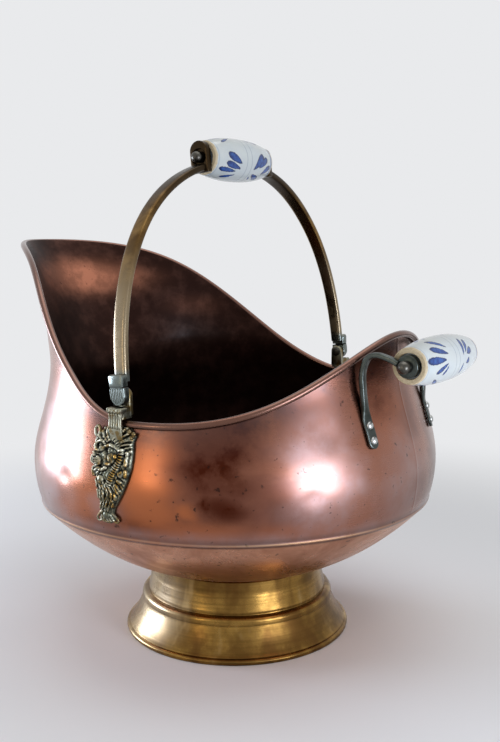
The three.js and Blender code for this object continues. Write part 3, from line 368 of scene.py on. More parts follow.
# A band under the rim painted darker, as film and as a painted dark reflection.
layer(upper_body, "rim_film_and_dark_reflection", 0.75 * np.exp(-((rim_height(angle) - height) / 17) ** 2))
# A dark line at the foot of the sheet and above the ridge: dirt and painted shade in the seam.
layer(upper_body, "seam_dirt_and_shade", 0.55 * np.exp(-((height - RIDGE_TOP - 0.4) / 0.8) ** 2)
      + 0.9 * (height < WAIST_HEIGHT + 0.1))
layer(upper_body, "seam_ridge", (0.42 + 0.2 * np.cos(5 * angle))
      * (np.abs(height - WAIST_HEIGHT - 0.9) < 0.7))
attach(upper_body, "bucket")
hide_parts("upper_body")


# Rim wire: a drawn iron wire inside the rolled edge. Only its ends of light show where the curl
# doesn't quite close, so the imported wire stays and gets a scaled, dull iron surface.


def coated(material, *names):
    """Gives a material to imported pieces, which stay as they are."""
    for name in names:
        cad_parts[name].data.materials.clear()
        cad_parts[name].data.materials.append(material)


# Drawn iron wire, scaled: grey-brown and dull, with rusty spots.
iron, tree, place = new_material("drawn iron wire, scaled")
spots = node(tree, "TexNoise", {"Vector": place, "Scale": 1000 / 3, "Detail": 4.0})
surface(tree, coats(tree, "#5b544c", (spots, "#6a4a36")), 0.6)
coated(iron, "rim_wire")


# Bottom pan: a dish of the same copper, raised and planished, whose standing cuff is soldered
# inside the upper body. It stays a little duller and pinker, as nothing rubs it.
# The tree turns a profile round an axis, as a spinner's lathe does, for this and later pieces.


def new_group(name, inputs, output):
    """A Geometry Nodes tree with named inputs, and the sockets that give them."""
    tree = bpy.data.node_groups.new(name, "GeometryNodeTree")
    for label, kind in inputs.items():
        tree.interface.new_socket(label, in_out="INPUT", socket_type="NodeSocket" + kind)
    tree.interface.new_socket(output, in_out="OUTPUT", socket_type="NodeSocketGeometry")
    return tree, node(tree, "NodeGroupInput").outputs


turning, given = new_group("turned round an axis", {
    "Profile": "Geometry", "Segments": "Int", "Tilt": "Vector", "Centre": "Vector",
    "Finish": "Material"}, "Turned")
profile_size = node(turning, "GeometryNodeAttributeDomainSize", {"Geometry": given["Profile"]},
                    component="MESH")
count = profile_size.outputs["Point Count"]
around = node(turning, "Math", {0: given["Segments"], 1: 1.0})
blank = node(turning, "GeometryNodeMeshGrid", {"Size X": 1.0, "Size Y": 1.0,
                                               "Vertices X": around, "Vertices Y": count})
index = node(turning, "GeometryNodeInputIndex")
on_profile = node(turning, "Math", {0: index, 1: count}, operation="MODULO")
course = node(turning, "Math", {0: index, 1: count}, operation="DIVIDE")
whole = node(turning, "Math", {0: course}, operation="FLOOR")
share = node(turning, "Math", {0: whole, 1: given["Segments"]}, operation="DIVIDE")
turn = node(turning, "Math", {0: share, 1: 2 * math.pi}, operation="MULTIPLY")
sampled = node(turning, "GeometryNodeSampleIndex", {
    "Geometry": given["Profile"], "Value": node(turning, "GeometryNodeInputPosition"),
    "Index": on_profile}, data_type="FLOAT_VECTOR", domain="POINT")
swung = node(turning, "VectorRotate", {"Vector": sampled, "Angle": turn}, rotation_type="Z_AXIS")
shaped = node(turning, "GeometryNodeSetPosition", {"Geometry": blank, "Position": swung})
closed = node(turning, "GeometryNodeMergeByDistance", {"Geometry": shaped, "Distance": 1e-6})
placed = node(turning, "GeometryNodeTransform", {
    "Geometry": closed, "Translation": given["Centre"], "Rotation": given["Tilt"]})
smooth = node(turning, "GeometryNodeSetShadeSmooth", {"Geometry": placed})
plain = node(turning, "GeometryNodeRealizeInstances", {"Geometry": smooth})
finished = node(turning, "GeometryNodeSetMaterial", {"Geometry": plain,
                                                     "Material": given["Finish"]})
node(turning, "NodeGroupOutput", {"Turned": finished})


def grown(name, tree, start_mesh, inputs, crease):
    """The plain mesh that a Geometry Nodes tree makes from a starting mesh."""
    start = in_scene(name + "_start", start_mesh)
    maker = start.modifiers.new("maker", "NODES")
    maker.node_group = tree
    sockets = {socket.name: socket.identifier for socket in tree.interface.items_tree
               if socket.item_type == "SOCKET" and socket.in_out == "INPUT"}
    for label, value in inputs.items():
        maker[sockets[label]] = value
    depsgraph = bpy.context.evaluated_depsgraph_get()
    mesh = bpy.data.meshes.new_from_object(start.evaluated_get(depsgraph), depsgraph=depsgraph)
    mesh.name = name
    bpy.data.objects.remove(start)
    corners = np.array([v.co for v in mesh.vertices])
    faces = [list(p.vertices) for p in mesh.polygons]
    if outward(corners - corners.mean(0), faces) is not faces:
        mesh.flip_normals()
    mesh.set_sharp_from_angle(angle=math.radians(crease))
    return in_scene(name, mesh)


def turned(name, profile, material, segments, centre=(0, 0, 0), across=False, crease=38):
    """A turned body from [radius, place on the axis] in millimetres, upright or lying across."""
    points = [(radius / 1000, 0, along / 1000) for radius, along in profile]
    mesh = bpy.data.meshes.new(name + "_profile")
    mesh.from_pydata(points, [], [])
    tilt = (-math.pi / 2, 0, 0) if across else (0, 0, 0)
    middle = ((centre[0] + AXIS_X) / 1000, centre[1] / 1000, centre[2] / 1000)
    return grown(name, turning, mesh, {"Segments": segments, "Tilt": tilt, "Centre": middle,
                                       "Finish": material}, crease)


def smooth_line(points, steps):
    """Points on a smooth curve through the given ones."""
    points = np.asarray(points, float)
    ends = 2 * points[0] - points[1], 2 * points[-1] - points[-2]
    padded = np.concatenate([[ends[0]], points, [ends[1]]])
    line = []
    for a, b, c, d in zip(padded, padded[1:], padded[2:], padded[3:]):
        for t in np.arange(steps) / steps:
            line.append(0.5 * ((2 * b) + (c - a) * t + (2 * a - 5 * b + 4 * c - d) * t * t
                               + (3 * b - a - 3 * c + d) * t ** 3))
    return np.array(line + [points[-1]])


# Planished copper, left to tone down: pinkish brown clouds with dark specks and a soft sheen,
# grime and painted shade just under the seam, and the inside painted dark, as smoke and as shade.
# Its base is painted lighter than the body's copper, to make up for the shade it stands in.
pan_copper, tree, place = new_material("planished copper, toned")
clouds, cloudy = clouding(tree, place, 50, 5.0, 0.6, 0.36, 0.66, distortion=0.4)
_, speckled = clouding(tree, place, 5, 3.0, 0.5, 0.64, 0.74, most=0.7)
# Painted shade as well as grime: darker just under the seam.
by_seam = node(tree, "MapRange", {0: node(tree, "SeparateXYZ", {0: place}).outputs["Z"],
                                  1: (WAIST_HEIGHT - 2.4) / 1000, 2: (WAIST_HEIGHT - 0.6) / 1000,
                                  4: 0.75})
facing = node(tree, "SeparateXYZ", {0: node(tree, "NewGeometry").outputs["Normal"]})
# Painted shade as well as smoke: the faces looking up inside are dark.
inside = node(tree, "MapRange", {0: facing.outputs["Z"], 1: 0.1, 2: 0.3})
# The base colour is painted lighter than the body's, to make up for the pan's shade.
colour = coats(tree, "#dda98a", (cloudy, "#b27a5c"), (speckled, "#432a20"), (by_seam, "#2e1a12"),
               (inside, coats(tree, "#271814", (clouds, "#4a2f26"))))
surface(tree, colour, 0.24, [(cloudy, 0.12)])

PAN_BOTTOM_HEIGHT, PAN_EDGE_HEIGHT = 52.0, WAIST_HEIGHT - 0.3
CUFF_HEIGHT, CUFF_LIFT, DISH_INNER_SHARE = 9.0, -SHEET - 0.3, 0.9935


def pan_height(radius):
    return mix(PAN_BOTTOM_HEIGHT, PAN_EDGE_HEIGHT, (radius / WAIST_RADIUS) ** 2.58)


dish_radii = WAIST_RADIUS * np.sin(np.linspace(0, math.pi / 2, 46))
dish = [(r, float(pan_height(r))) for r in dish_radii]
cuff_rows = np.linspace(WAIST_HEIGHT, WAIST_HEIGHT + CUFF_HEIGHT, 5)
cuff_face = [(p[0], p[2]) for p in wall(math.pi, cuff_rows, CUFF_LIFT)]
cuff_back = [(p[0], p[2]) for p in wall(math.pi, cuff_rows, CUFF_LIFT - SHEET)]
pan_profile = dish + [(cuff_face[0][0], WAIST_HEIGHT - 0.15)] + cuff_face + cuff_back[::-1]
pan_profile += [(r * DISH_INNER_SHARE, h + SHEET) for r, h in dish[-2::-1]]
bottom_pan = turned("copper_bottom_pan", pan_profile, pan_copper, 240)
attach(bottom_pan, "bucket")
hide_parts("bottom_pan")


# Foot: brass sheet spun on a lathe in one piece: a flange soldered under the pan, a short neck, a
# groove and a step, then a flared skirt whose lower edge is rolled to a bead and stands flat.

# Spun brass, aged: dull gold with fine lathe lines, brown and pale streaks down its flare, and a
# whitish painted highlight at the front of the skirt.
foot_brass, tree, place = new_material("spun brass, aged")
_, cloudy = clouding(tree, place, 30, 5.0, 0.6, 0.38, 0.66)
lathe = node(tree, "Mapping", {"Vector": place, "Scale": (8.0, 8.0, 1000 / 1.3)})
spin_lines = node(tree, "TexNoise", {"Vector": lathe, "Scale": 1.0, "Detail": 2.0})
lined = node(tree, "MapRange", {0: spin_lines, 1: 0.35, 2: 0.7, 4: 0.35})
downwards = node(tree, "Mapping", {"Vector": place, "Location": (0.31, 0.17, 0),
                                   "Scale": (26, 26, 5)})
streaks = node(tree, "TexNoise", {"Vector": downwards, "Scale": 1.0, "Detail": 4.0,
                                  "Roughness": 0.55})
# Painted highlight: a whitish spot at the front of the skirt.
highlight_place = (AXIS_X / 1000 - 0.036, -0.074, 0.03)
from_highlight = node(tree, "VectorMath", {0: place, 1: highlight_place}, operation="DISTANCE")
brown, pale, white = [
    node(tree, "MapRange", {0: spread, 1: start, 2: end, 4: most}, interpolation_type="SMOOTHSTEP")
    for spread, start, end, most in ((streaks, 0.5, 0.64, 0.75), (streaks, 0.47, 0.36, 0.8),
                                      (from_highlight, 0.055, 0.008, 0.55))]
colour = coats(tree, "#96733a", (cloudy, "#664b24"), (lined, "#43310f"), (brown, "#563a1c"),
               (pale, "#ab8f60"), (white, "#b0a288"))
surface(tree, colour, 0.24, [(cloudy, 0.14)], (0.25, 0.0003, spin_lines))

# How far the flange's two faces lie below the pan's outer face
FLANGE_TOP, FLANGE_UNDERSIDE, FOOT_SHEET = 0.48, 1.7, 1.2


def under_pan(radius, gap):
    return radius, float(pan_height(radius)) - gap


neck_line = smooth_line([(72, under_pan(72, FLANGE_TOP)[1] - FOOT_SHEET), (72.6, 50), (73.3, 46),
                         (74.6, 39), (75.4, 35.6), (75.5, 33.9)], 5)
groove_line = [(75.2, 33.5), (75.3, 33.0), (76.4, 32.9)]
step_line = smooth_line([(76.9, 32.9), (79.2, 32.4), (80.7, 30.6), (81.2, 28.4), (81.4, 26.6)], 5)
skirt_line = smooth_line([(81.1, 26.2), (82.0, 23.4), (85.7, 15.0), (90.2, 8.0), (92.5, 5.2)], 6)
bead_line = smooth_line([(92.4, 4.7), (93.7, 4.5), (94.8, 3.4), (95.0, 2.3), (94.7, 0.9),
                         (93.9, 0.0)], 4)
foot_outside = [under_pan(60, FLANGE_TOP), under_pan(70.8, FLANGE_TOP)]
foot_outside += [tuple(p) for line in (neck_line, groove_line, step_line, skirt_line, bead_line)
                 for p in line]
foot_inside = [(90.7, 0.0), (91.3, 5.0), (88.9, 8.0), (84.4, 15.2), (80.7, 23.7), (80.0, 26.8),
               (79.4, 29.6), (77.6, 31.4), (74.3, 32.4), (73.4, 38.8), (71.9, 47.0), (70.8, 52.8),
               under_pan(60, FLANGE_UNDERSIDE)]
foot = turned("spun_brass_foot", foot_outside + foot_inside + foot_outside[:1], foot_brass, 240,
              crease=28)
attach(foot, "bucket")
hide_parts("foot")


# Lion masks: sand-cast brass, one each side, chased in the mane and beard and hooked over the
# rolled edge by a fluted neck, with a lug inside the rim that carries the bail's pin. Two rivets
# hold each. Places on a mask are [towards the back, height] from the pivot's own meridian.

PIVOT_X, PIVOT_HEIGHT = 13.0, 219.5
MASK_ANGLE = math.acos(-PIVOT_X / float(round_radius(SADDLE_HEIGHT)))
MASK_TOP, MASK_BOTTOM = 198.5, 130.0
HOOK_BACK = 149.8


def mask_point(side, height, lift):
    return wall(MASK_ANGLE + np.asarray(side) / BELLY_RADIUS, height, lift)


def tube(path, radius, sides=10, closed=False):
    """A round bar along a path, its radius one value or one for each point."""
    path = np.asarray(path, float)
    ahead = np.roll(path, -1, 0) - np.roll(path, 1, 0) if closed else np.gradient(path, axis=0)
    along = unit(ahead)
    out = unit(np.cross(along, np.array([0.31, 0.17, 0.94]) + 0 * along))
    side = np.cross(along, out)
    turns = np.linspace(0, 2 * math.pi, sides, endpoint=False)
    rings = [p + r * (np.outer(np.cos(turns), o) + np.outer(np.sin(turns), s))
             for p, r, o, s in zip(path, np.broadcast_to(radius, len(path)), out, side)]
    return shell(rings, closed)


# Edge of the plate: height, lip-side edge, back-side edge
MASK_EDGE = np.array([
    (198.5, -9.5, 8.0), (195.5, -13, 11.5), (192, -20.5, 15), (188, -22, 13.2), (183, -21.4, 14),
    (177, -21.4, 14.2), (171, -20.4, 13.8), (166, -19, 12.8), (161, -16.5, 11.2),
    (156, -14.6, 9.2), (151, -13.6, 6.8), (146, -12.9, 3.8), (141, -11.6, 0.6), (137, -12.5, -0.5),
    (133, -14.0, 0.8), (130, -9.0, -4.0)])
# Raised work: a line of places, its half width, its rise
MASK_STROKES = [
    ([(-3, 188), (0, 193), (1.5, 197)], 0.9, 1.3),
    ([(-1.5, 187.5), (3, 192), (5.4, 195.6)], 0.9, 1.3),
    ([(-0.5, 186.6), (5, 190.4), (8.8, 193)], 0.9, 1.3),
    ([(0, 185.4), (6, 188), (11.2, 190)], 0.9, 1.3),
    ([(0.6, 184), (7, 185.6), (12, 186)], 0.9, 1.2),
    ([(-6.5, 187.6), (-9, 191.5), (-10, 196)], 0.9, 1.3),
    ([(-8, 186.6), (-12, 190), (-14, 193)], 0.9, 1.3),
    ([(-9.5, 185), (-14, 187), (-17.5, 190.5)], 0.9, 1.3),
    ([(-11, 186.4), (-15.1, 186.6), (-18.4, 183.4), (-15.4, 179.8), (-11.9, 182.4)], 1.2, 1.9),
    ([(-4.5, 184.5), (0.5, 183.6), (4.6, 181.6)], 1.5, 1.8),
    ([(-5.5, 184.5), (-8.5, 183.4), (-12, 180.6)], 1.3, 1.5),
    ([(-19.6, 178), (-18.4, 177)], 1.5, 1.7), ([(-13.7, 173.2), (-13.6, 172.6)], 3.4, 3.0),
    ([(-2.2, 176), (-1.7, 175.4)], 3.4, 2.4), ([(1.9, 177.3), (2.0, 177)], 1.7, 3.0),
    ([(-4.4, 172.2), (-2.4, 172)], 1.4, 3.2), ([(10.4, 180.2), (10.5, 172.4)], 1.25, 1.7),
    ([(7.4, 166.6), (7.4, 166.2)], 2.2, 2.4), ([(10.6, 168.2), (10.6, 165)], 1.4, 1.6),
    ([(-9.3, 161.4), (-9.3, 161)], 3.0, 2.7),
    ([(-12.6, 168.6), (-9, 168), (-5.6, 169.4)], 1.5, 1.9),
    ([(-20.6, 177.2), (-21, 174.6), (-20.2, 171.4)], 1.0, 1.4),
    ([(-19.2, 168.6), (-19, 165.4), (-17.6, 163)], 1.0, 1.4),
    ([(-15.6, 160.4), (-13.6, 158.6), (-14.6, 155.4), (-16.2, 157.6), (-15.6, 160.4)], 0.9, 1.5),
    ([(-12.4, 153.8), (-11.4, 151.2), (-12.8, 148.4), (-14.2, 151.2), (-12.4, 153.8)], 0.9, 1.5),
    ([(-8.6, 160), (-9.8, 152), (-9.4, 146), (-10.6, 141)], 0.95, 1.5),
    ([(-6.6, 159.6), (-6.8, 152), (-7, 146), (-8.6, 140)], 0.95, 1.6),
    ([(-4.6, 158.6), (-3.2, 152.4), (-4.6, 146), (-6.6, 140)], 0.95, 1.6),
    ([(-2.6, 157.6), (0.4, 152), (-1.6, 146), (-4, 140.6)], 0.95, 1.5),
    ([(3.6, 158.4), (5.4, 154)], 1.5, 1.5), ([(2.4, 152), (3.2, 149.4)], 1.5, 1.4),
    ([(4.6, 161.6), (6.4, 161)], 1.6, 1.5), ([(0, 146.8), (0.4, 144)], 1.4, 1.3),
    ([(-6, 142.5), (-5.8, 141)], 2.2, 1.7),
    ([(12.6, 188), (13.4, 180), (13.2, 171), (10.6, 161), (7.2, 152.6), (1.8, 143.4)], 0.9, 0.7)]
MASK_HOLLOWS = [
    ([(-8.6, 181.6), (-6.4, 177.6), (-5.4, 174)], 2.4, 2.0),
    ([(-16.8, 162.6), (-15, 163.4)], 1.6, 1.0), ([(7.6, 178), (7.4, 173)], 1.1, 0.9),
    ([(4.6, 165.4), (3.4, 160.6)], 1.1, 1.0), ([(-1.8, 149), (-2.2, 144)], 0.8, 0.9)]
# The twisted rope down the face's side
ROPE_PITCH, ROPE_HALF = 1.7, 2.5
ROPE = smooth_line([(5.4, 181), (5.5, 176), (2.4, 169.8), (-0.2, 163.8), (-2.6, 157.8)], 12)


def near_line(side, height, line):
    """Distance to a line of places, and how far along it the nearest one lies."""
    line = np.asarray(line, float)
    best, where, run = np.full(side.shape, 1e9), np.zeros(side.shape), 0.0
    for (u0, v0), (u1, v1) in zip(line, line[1:]):
        du, dv = u1 - u0, v1 - v0
        length = math.hypot(du, dv)
        share = np.clip(((side - u0) * du + (height - v0) * dv) / (length * length), 0, 1)
        away = np.hypot(side - u0 - du * share, height - v0 - dv * share)
        closer = away < best
        best, where = np.where(closer, away, best), np.where(closer, run + share * length, where)
        run += length
    return best, where


def rounded(away, half):
    """The section of a stroke with a round back, by the distance from its line."""
    return np.sqrt(np.clip(1 - (away / half) ** 2, 0, 1))


MASK_ROWS, MASK_COLUMNS = 190, 110
down = np.linspace(0, 1, MASK_ROWS)[:, None]
across = np.linspace(0, 1, MASK_COLUMNS)[None, :]
mask_height = mix(MASK_TOP, MASK_BOTTOM, down) + 0 * across
lip_side, back_side = [np.interp(mask_height, MASK_EDGE[::-1, 0], MASK_EDGE[::-1, k])
                       for k in (1, 2)]
mask_side = mix(lip_side, back_side, across)
side_away = np.minimum(mask_side - lip_side, back_side - mask_side)
end_away = np.minimum(MASK_TOP + 3 - mask_height, mask_height - MASK_BOTTOM)
edge_away = np.minimum(side_away, end_away)
# The ground swells at the face, and carries the mane round it, the beard below and small curls
swell = (1 - (np.abs(across - 0.5) * 2) ** 2) * np.exp(-((mask_height - 172) / 20) ** 2)
ground = 1.5 + 1.1 * ease(edge_away / 2.2) + 2.2 * swell
round_face = np.arctan2(mask_height - 176, mask_side + 4) + 0.35 * np.sin(mask_height / 5)
off_face = np.hypot((mask_height - 176) / 1.25, mask_side + 4)
mane = ease((off_face - 8) / 3) * ease((mask_height - 158) / 8)
mane = mane * (0.5 + 0.5 * np.cos(26 * round_face))
strands = mask_side + 2.6 * np.sin(mask_height / 4.2) + 0.1 * (mask_height - 130)
beard = ease((163 - mask_height) / 6) * (0.5 + 0.5 * np.cos(2 * math.pi * strands / 2.5))
curls = 0.5 + 0.5 * (np.cos(mask_side * 2.1 + np.sin(mask_height))
                     * np.cos(mask_height * 1.7 + np.sin(mask_side)))
ground = ground + ease(edge_away / 1.4) * (0.95 * np.maximum(mane, beard) + 0.45 * curls - 0.5)
relief = ground
for line, half, rise in MASK_STROKES:
    away, _ = near_line(mask_side, mask_height, smooth_line(line, 6) if len(line) > 2 else line)
    relief = np.maximum(relief, ground + rise * rounded(away, half))
away, run = near_line(mask_side, mask_height, ROPE)
ribs = 0.72 + 0.28 * np.cos(run * 2 * math.pi / ROPE_PITCH)
relief = np.maximum(relief, ground + ROPE_HALF * ribs * rounded(away, ROPE_HALF))
for line, half, depth in MASK_HOLLOWS:
    away, _ = near_line(mask_side, mask_height, line)
    relief = relief - depth * ease(1 - away / half)
relief = np.maximum(relief, 0.9)
index = np.arange(relief.size).reshape(relief.shape)
front = np.stack([index[:-1, :-1], index[:-1, 1:], index[1:, 1:], index[1:, :-1]], -1)
front = front.reshape(-1, 4)
back = front[:, ::-1] + relief.size
border = np.concatenate([index[0, :-1], index[:-1, -1], index[-1, :0:-1], index[:0:-1, 0]])
behind, onwards = border + relief.size, np.roll(border, -1)
sides = np.stack([border, behind, onwards + relief.size, onwards], -1)
plate_points = [mask_point(mask_side, mask_height, lift).reshape(-1, 3) for lift in (relief, 0.3)]
plate = (np.concatenate(plate_points), front.tolist() + back.tolist() + sides.tolist())


def mask_loop(line, radius, lift):
    line = smooth_line(line + [line[0]], 8)[:-1]
    return tube(mask_point(line[:, 0], line[:, 1], lift), radius, closed=True)


def ball(side, height, lift, radius):
    around = np.linspace(0, 2 * math.pi, 18, endpoint=False)
    rings = [[(radius * math.sin(t) * math.cos(a), radius * math.sin(t) * math.sin(a),
               radius * math.cos(t)) for a in around]
             for t in np.linspace(0.001, math.pi - 0.001, 11)]
    return shell(rings + mask_point(side, height, lift))


# Open loops at the mask's edge, and the pearls by the neck
loops = [mask_loop(line, radius, lift) for line, radius, lift in (
    ([(-22.3, 194.6), (-19.8, 196.3), (-17.3, 194), (-17.6, 190.4), (-20.6, 190.2)], 1.15, 3.0),
    ([(-8.6, 139.4), (-12, 138), (-16, 133.4), (-15.2, 131.2), (-12, 132.2), (-8.6, 136)],
     0.85, 1.6),
    ([(-4.2, 138.6), (-1, 137), (2.4, 133.6), (2, 131.4), (-0.6, 132), (-4, 135.6)], 0.85, 1.6),
    ([(-22.2, 176.6), (-20.8, 175), (-21, 171.4), (-22.6, 173)], 0.7, 1.8),
    ([(-20, 168.4), (-18.4, 166.6), (-18.2, 162.8), (-20, 164.8)], 0.7, 1.8))]
balls = [ball(*pearl) for pearl in (
    (9.3, 194.6, 3.2, 1.9), (12.9, 193.4, 3.0, 1.7), (11.4, 190.6, 3.4, 1.5),
    (6.4, 196.6, 3.0, 1.3), (-12.6, 195.4, 2.8, 1.2))]

# Fluted neck over the rim, by height: its face, half width and back
NECK = np.array(((190.0, 163.4, 5.4, 160.6), (194, 164.0, 5.6, 160.9), (197, 164.3, 5.5, 161.1),
                 (199.5, 163.9, 5.3, 161.2), (202, 163.4, 5.2, 161.2), (204.5, 163.3, 5.2, 161.2),
                 (207, 163.7, 5.3, 158), (208.6, 164.3, 5.5, 156), (209.6, 165.2, 5.9, 156),
                 (210.8, 165.5, 6.0, 156), (211.8, 165.1, 5.8, 156), (212.3, 164.0, 5.3, 156.4)))
FLUTE_PITCH, FLUTE_RADIUS, SCROLL_RADIUS = 2.25, 1.05, 1.25
LUG_RADIUS, LUG_FOOT = 5.5, 206


def neck_at(height):
    return [np.interp(height, NECK[:, 0], NECK[:, k]) for k in (1, 2, 3)]


def squared(turns, power):
    """Across and through a rounded square section, from -1 to 1."""
    wide, deep = np.cos(turns), np.sin(turns)
    return np.sign(wide) * np.abs(wide) ** power, np.sign(deep) * np.abs(deep) ** power


def box_ring(height, front, half, back):
    """A rounded four-sided ring about the pivot's meridian."""
    wide, deep = squared(np.linspace(0, 2 * math.pi, 32, endpoint=False), 0.35)
    middle = (front + back) / 2 + deep * (front - back) / 2
    return np.stack([PIVOT_X + wide * half, middle, height + 0 * wide], -1)


def tab_skin(outline, layers):
    """A flat tab whose outline [x, z] is drawn out along y, each layer set in by a little."""
    outline = np.asarray(outline, float)
    away = outline - outline.mean(0)
    rings = []
    for y, inset in layers:
        ring = outline.mean(0) + away * (1 - inset / np.linalg.norm(away, axis=1, keepdims=True))
        rings.append(np.stack([ring[:, 0], y + 0 * ring[:, 0], ring[:, 1]], -1))
    return shell(rings)


neck = []
for z in np.linspace(190, 212.3, 30):
    face, half, back = neck_at(z)
    neck.append(box_ring(z, face - 0.5, half, back))
bridge = [box_ring(z, 162, 5.5, HOOK_BACK) for z in (204.2, 204.8, 208, 211.6, 212.3)]
hook = [shell(neck), shell(bridge)]
for i in range(5):
    aside = (i - 2) * FLUTE_PITCH
    flute = [(PIVOT_X + aside * (1 + 0.12 * ease((200 - z) / 8)), neck_at(z)[0] - 0.35, z)
             for z in np.linspace(197.2, 208.6, 16)]
    ends = np.sqrt(np.clip(1 - np.linspace(-1, 1, 16) ** 6, 0.05, 1))
    hook.append(tube(flute, FLUTE_RADIUS * ends))
for x in (-4.6, -1.6, 1.6, 4.6):
    scroll = [(PIVOT_X + x + SCROLL_RADIUS * math.cos(t), 164.6,
               210.6 + SCROLL_RADIUS * math.sin(t))
              for t in np.linspace(0, 2 * math.pi, 14, endpoint=False)]
    hook.append(tube(scroll, 0.6, 8, True))
lug = [(PIVOT_X + LUG_RADIUS * math.cos(t), PIVOT_HEIGHT + LUG_RADIUS * math.sin(t))
       for t in np.linspace(0, math.pi, 19)]
lug += [(PIVOT_X - LUG_RADIUS, LUG_FOOT), (PIVOT_X + LUG_RADIUS, LUG_FOOT)]
hook.append(tab_skin(lug, ((HOOK_BACK, 0.5), (HOOK_BACK + 0.5, 0), (HOOK_BACK + 3.5, 0),
                           (HOOK_BACK + 4, 0.5))))

# Cast brass, antiqued: greenish grey ground, black hollows, and silvery gold where hands and
# polish wore the heights bare.
mask_brass, tree, place = new_material("cast brass, antiqued")
grain, grained = clouding(tree, place, 7, 5.0, 0.6, 0.4, 0.66)
golden = node(tree, "MapRange", {0: grain, 1: 0.46, 2: 0.58}, interpolation_type="SMOOTHSTEP")
worn, hollow = [node(tree, "Attribute", attribute_name=name).outputs["Fac"]
                for name in ("worn", "hollow")]
colour = coats(tree, "#5f6153", (grained, "#3f4339"),
               (worn, coats(tree, "#c2bda6", (golden, "#a37f3c"))), (hollow, "#17181a"))
surface(tree, colour, 0.36, bumps=(0.3, 0.0003, grain))

# What stands proud of the relief's smoothed form is worn, and what lies below it is dirty
smoothed = relief
for _ in range(14):
    padded = np.pad(smoothed, 1, mode="edge")
    smoothed = (padded[:-2, 1:-1] + padded[2:, 1:-1] + padded[1:-1, :-2] + padded[1:-1, 2:]
                + 2 * smoothed) / 6
FULL_WEAR, FULL_DIRT = 0.6, 0.4
wear = np.clip((relief - smoothed) / FULL_WEAR, 0, 1).reshape(-1)
dirt = np.clip((smoothed - relief) / FULL_DIRT, 0, 1).reshape(-1)


def mirrored(skins):
    return [(np.asarray(points).reshape(-1, 3) * (1, -1, 1), faces) for points, faces in skins]


mask_skins = [plate] + loops + balls + hook
for side, skins in (("right", mask_skins), ("left", mirrored(mask_skins))):
    mask = piece("lion_mask_casting_" + side, skins, mask_brass, 60)
    others = len(mask.data.vertices) - 2 * relief.size
    for name, values, elsewhere in (("worn", wear, 0.35), ("hollow", dirt, 0.0)):
        layer(mask, name, np.concatenate([values, 0 * values, np.full(others, elsewhere)]))
    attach(mask, "bucket")
    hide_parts("lion_mask_" + side)


# Rivets: soft metal, hammered over by hand, so the heads are low domes. The mask's are brass and
# the straps' are pale. The tree sets one rivet on each point, head outwards, tail inside the bowl.

RIVET_RADIUS, RIVET_RISE = 3.0, 1.9
riveting, given = new_group("rivets on the wall", {
    "Places": "Geometry", "Head Radius": "Float", "Head Height": "Float", "Grip": "Float",
    "Finish": "Material"}, "Rivets")
dome = node(riveting, "GeometryNodeMeshUVSphere", {"Segments": 24, "Rings": 12, "Radius": 1.0})
head_size = node(riveting, "CombineXYZ", {0: given["Head Radius"], 1: given["Head Radius"],
                                          2: given["Head Height"]})
head = node(riveting, "GeometryNodeTransform", {"Geometry": dome, "Scale": head_size})
tail_size = node(riveting, "VectorMath", {0: head_size, "Scale": 0.8}, operation="SCALE")
shank_radius = node(riveting, "Math", {0: given["Head Radius"], 1: 0.55}, operation="MULTIPLY")
bar = node(riveting, "GeometryNodeMeshCylinder", {"Vertices": 16, "Radius": shank_radius,
                                                  "Depth": given["Grip"]})
one_rivet = node(riveting, "GeometryNodeJoinGeometry", {0: head})
for shape, grips, size in ((dome, -1.0, tail_size), (bar, -0.5, (1, 1, 1))):
    depth = node(riveting, "Math", {0: given["Grip"], 1: grips}, operation="MULTIPLY")
    offset = node(riveting, "CombineXYZ", {2: depth})
    part = node(riveting, "GeometryNodeTransform", {"Geometry": shape, "Translation": offset,
                                                    "Scale": size})
    riveting.links.new(part.outputs[0], one_rivet.inputs[0])
outwards = node(riveting, "GeometryNodeInputNamedAttribute", {"Name": "outwards"},
                data_type="FLOAT_VECTOR")
stand = node(riveting, "FunctionNodeAlignRotationToVector", {"Vector": outwards}, axis="Z")
spread = node(riveting, "GeometryNodeInstanceOnPoints", {
    "Points": given["Places"], "Instance": one_rivet, "Rotation": stand})
plain = node(riveting, "GeometryNodeRealizeInstances", {"Geometry": spread})
smooth = node(riveting, "GeometryNodeSetShadeSmooth", {"Geometry": plain})
finished = node(riveting, "GeometryNodeSetMaterial", {"Geometry": smooth,
                                                      "Material": given["Finish"]})
node(riveting, "NodeGroupOutput", {"Rivets": finished})


def rivets(name, seats, material, lift, grip):
    """Rivets on both sides at each [angle, height], their heads lifted off the wall's face."""
    both = [(side * angle, height) for angle, height in seats for side in (1, -1)]
    heads = [(wall(*seat, lift) + (AXIS_X, 0, 0)) / 1000 for seat in both]
    mesh = bpy.data.meshes.new(name + "_places")
    mesh.from_pydata([tuple(head) for head in heads], [], [])
    ways = np.array([wall_normal(*seat) for seat in both])
    mesh.attributes.new("outwards", "FLOAT_VECTOR", "POINT").data.foreach_set(
        "vector", ways.reshape(-1))
    return grown(name, riveting, mesh, {
        "Head Radius": RIVET_RADIUS / 1000, "Head Height": RIVET_RISE / 1000,
        "Grip": grip / 1000, "Finish": material}, 60)


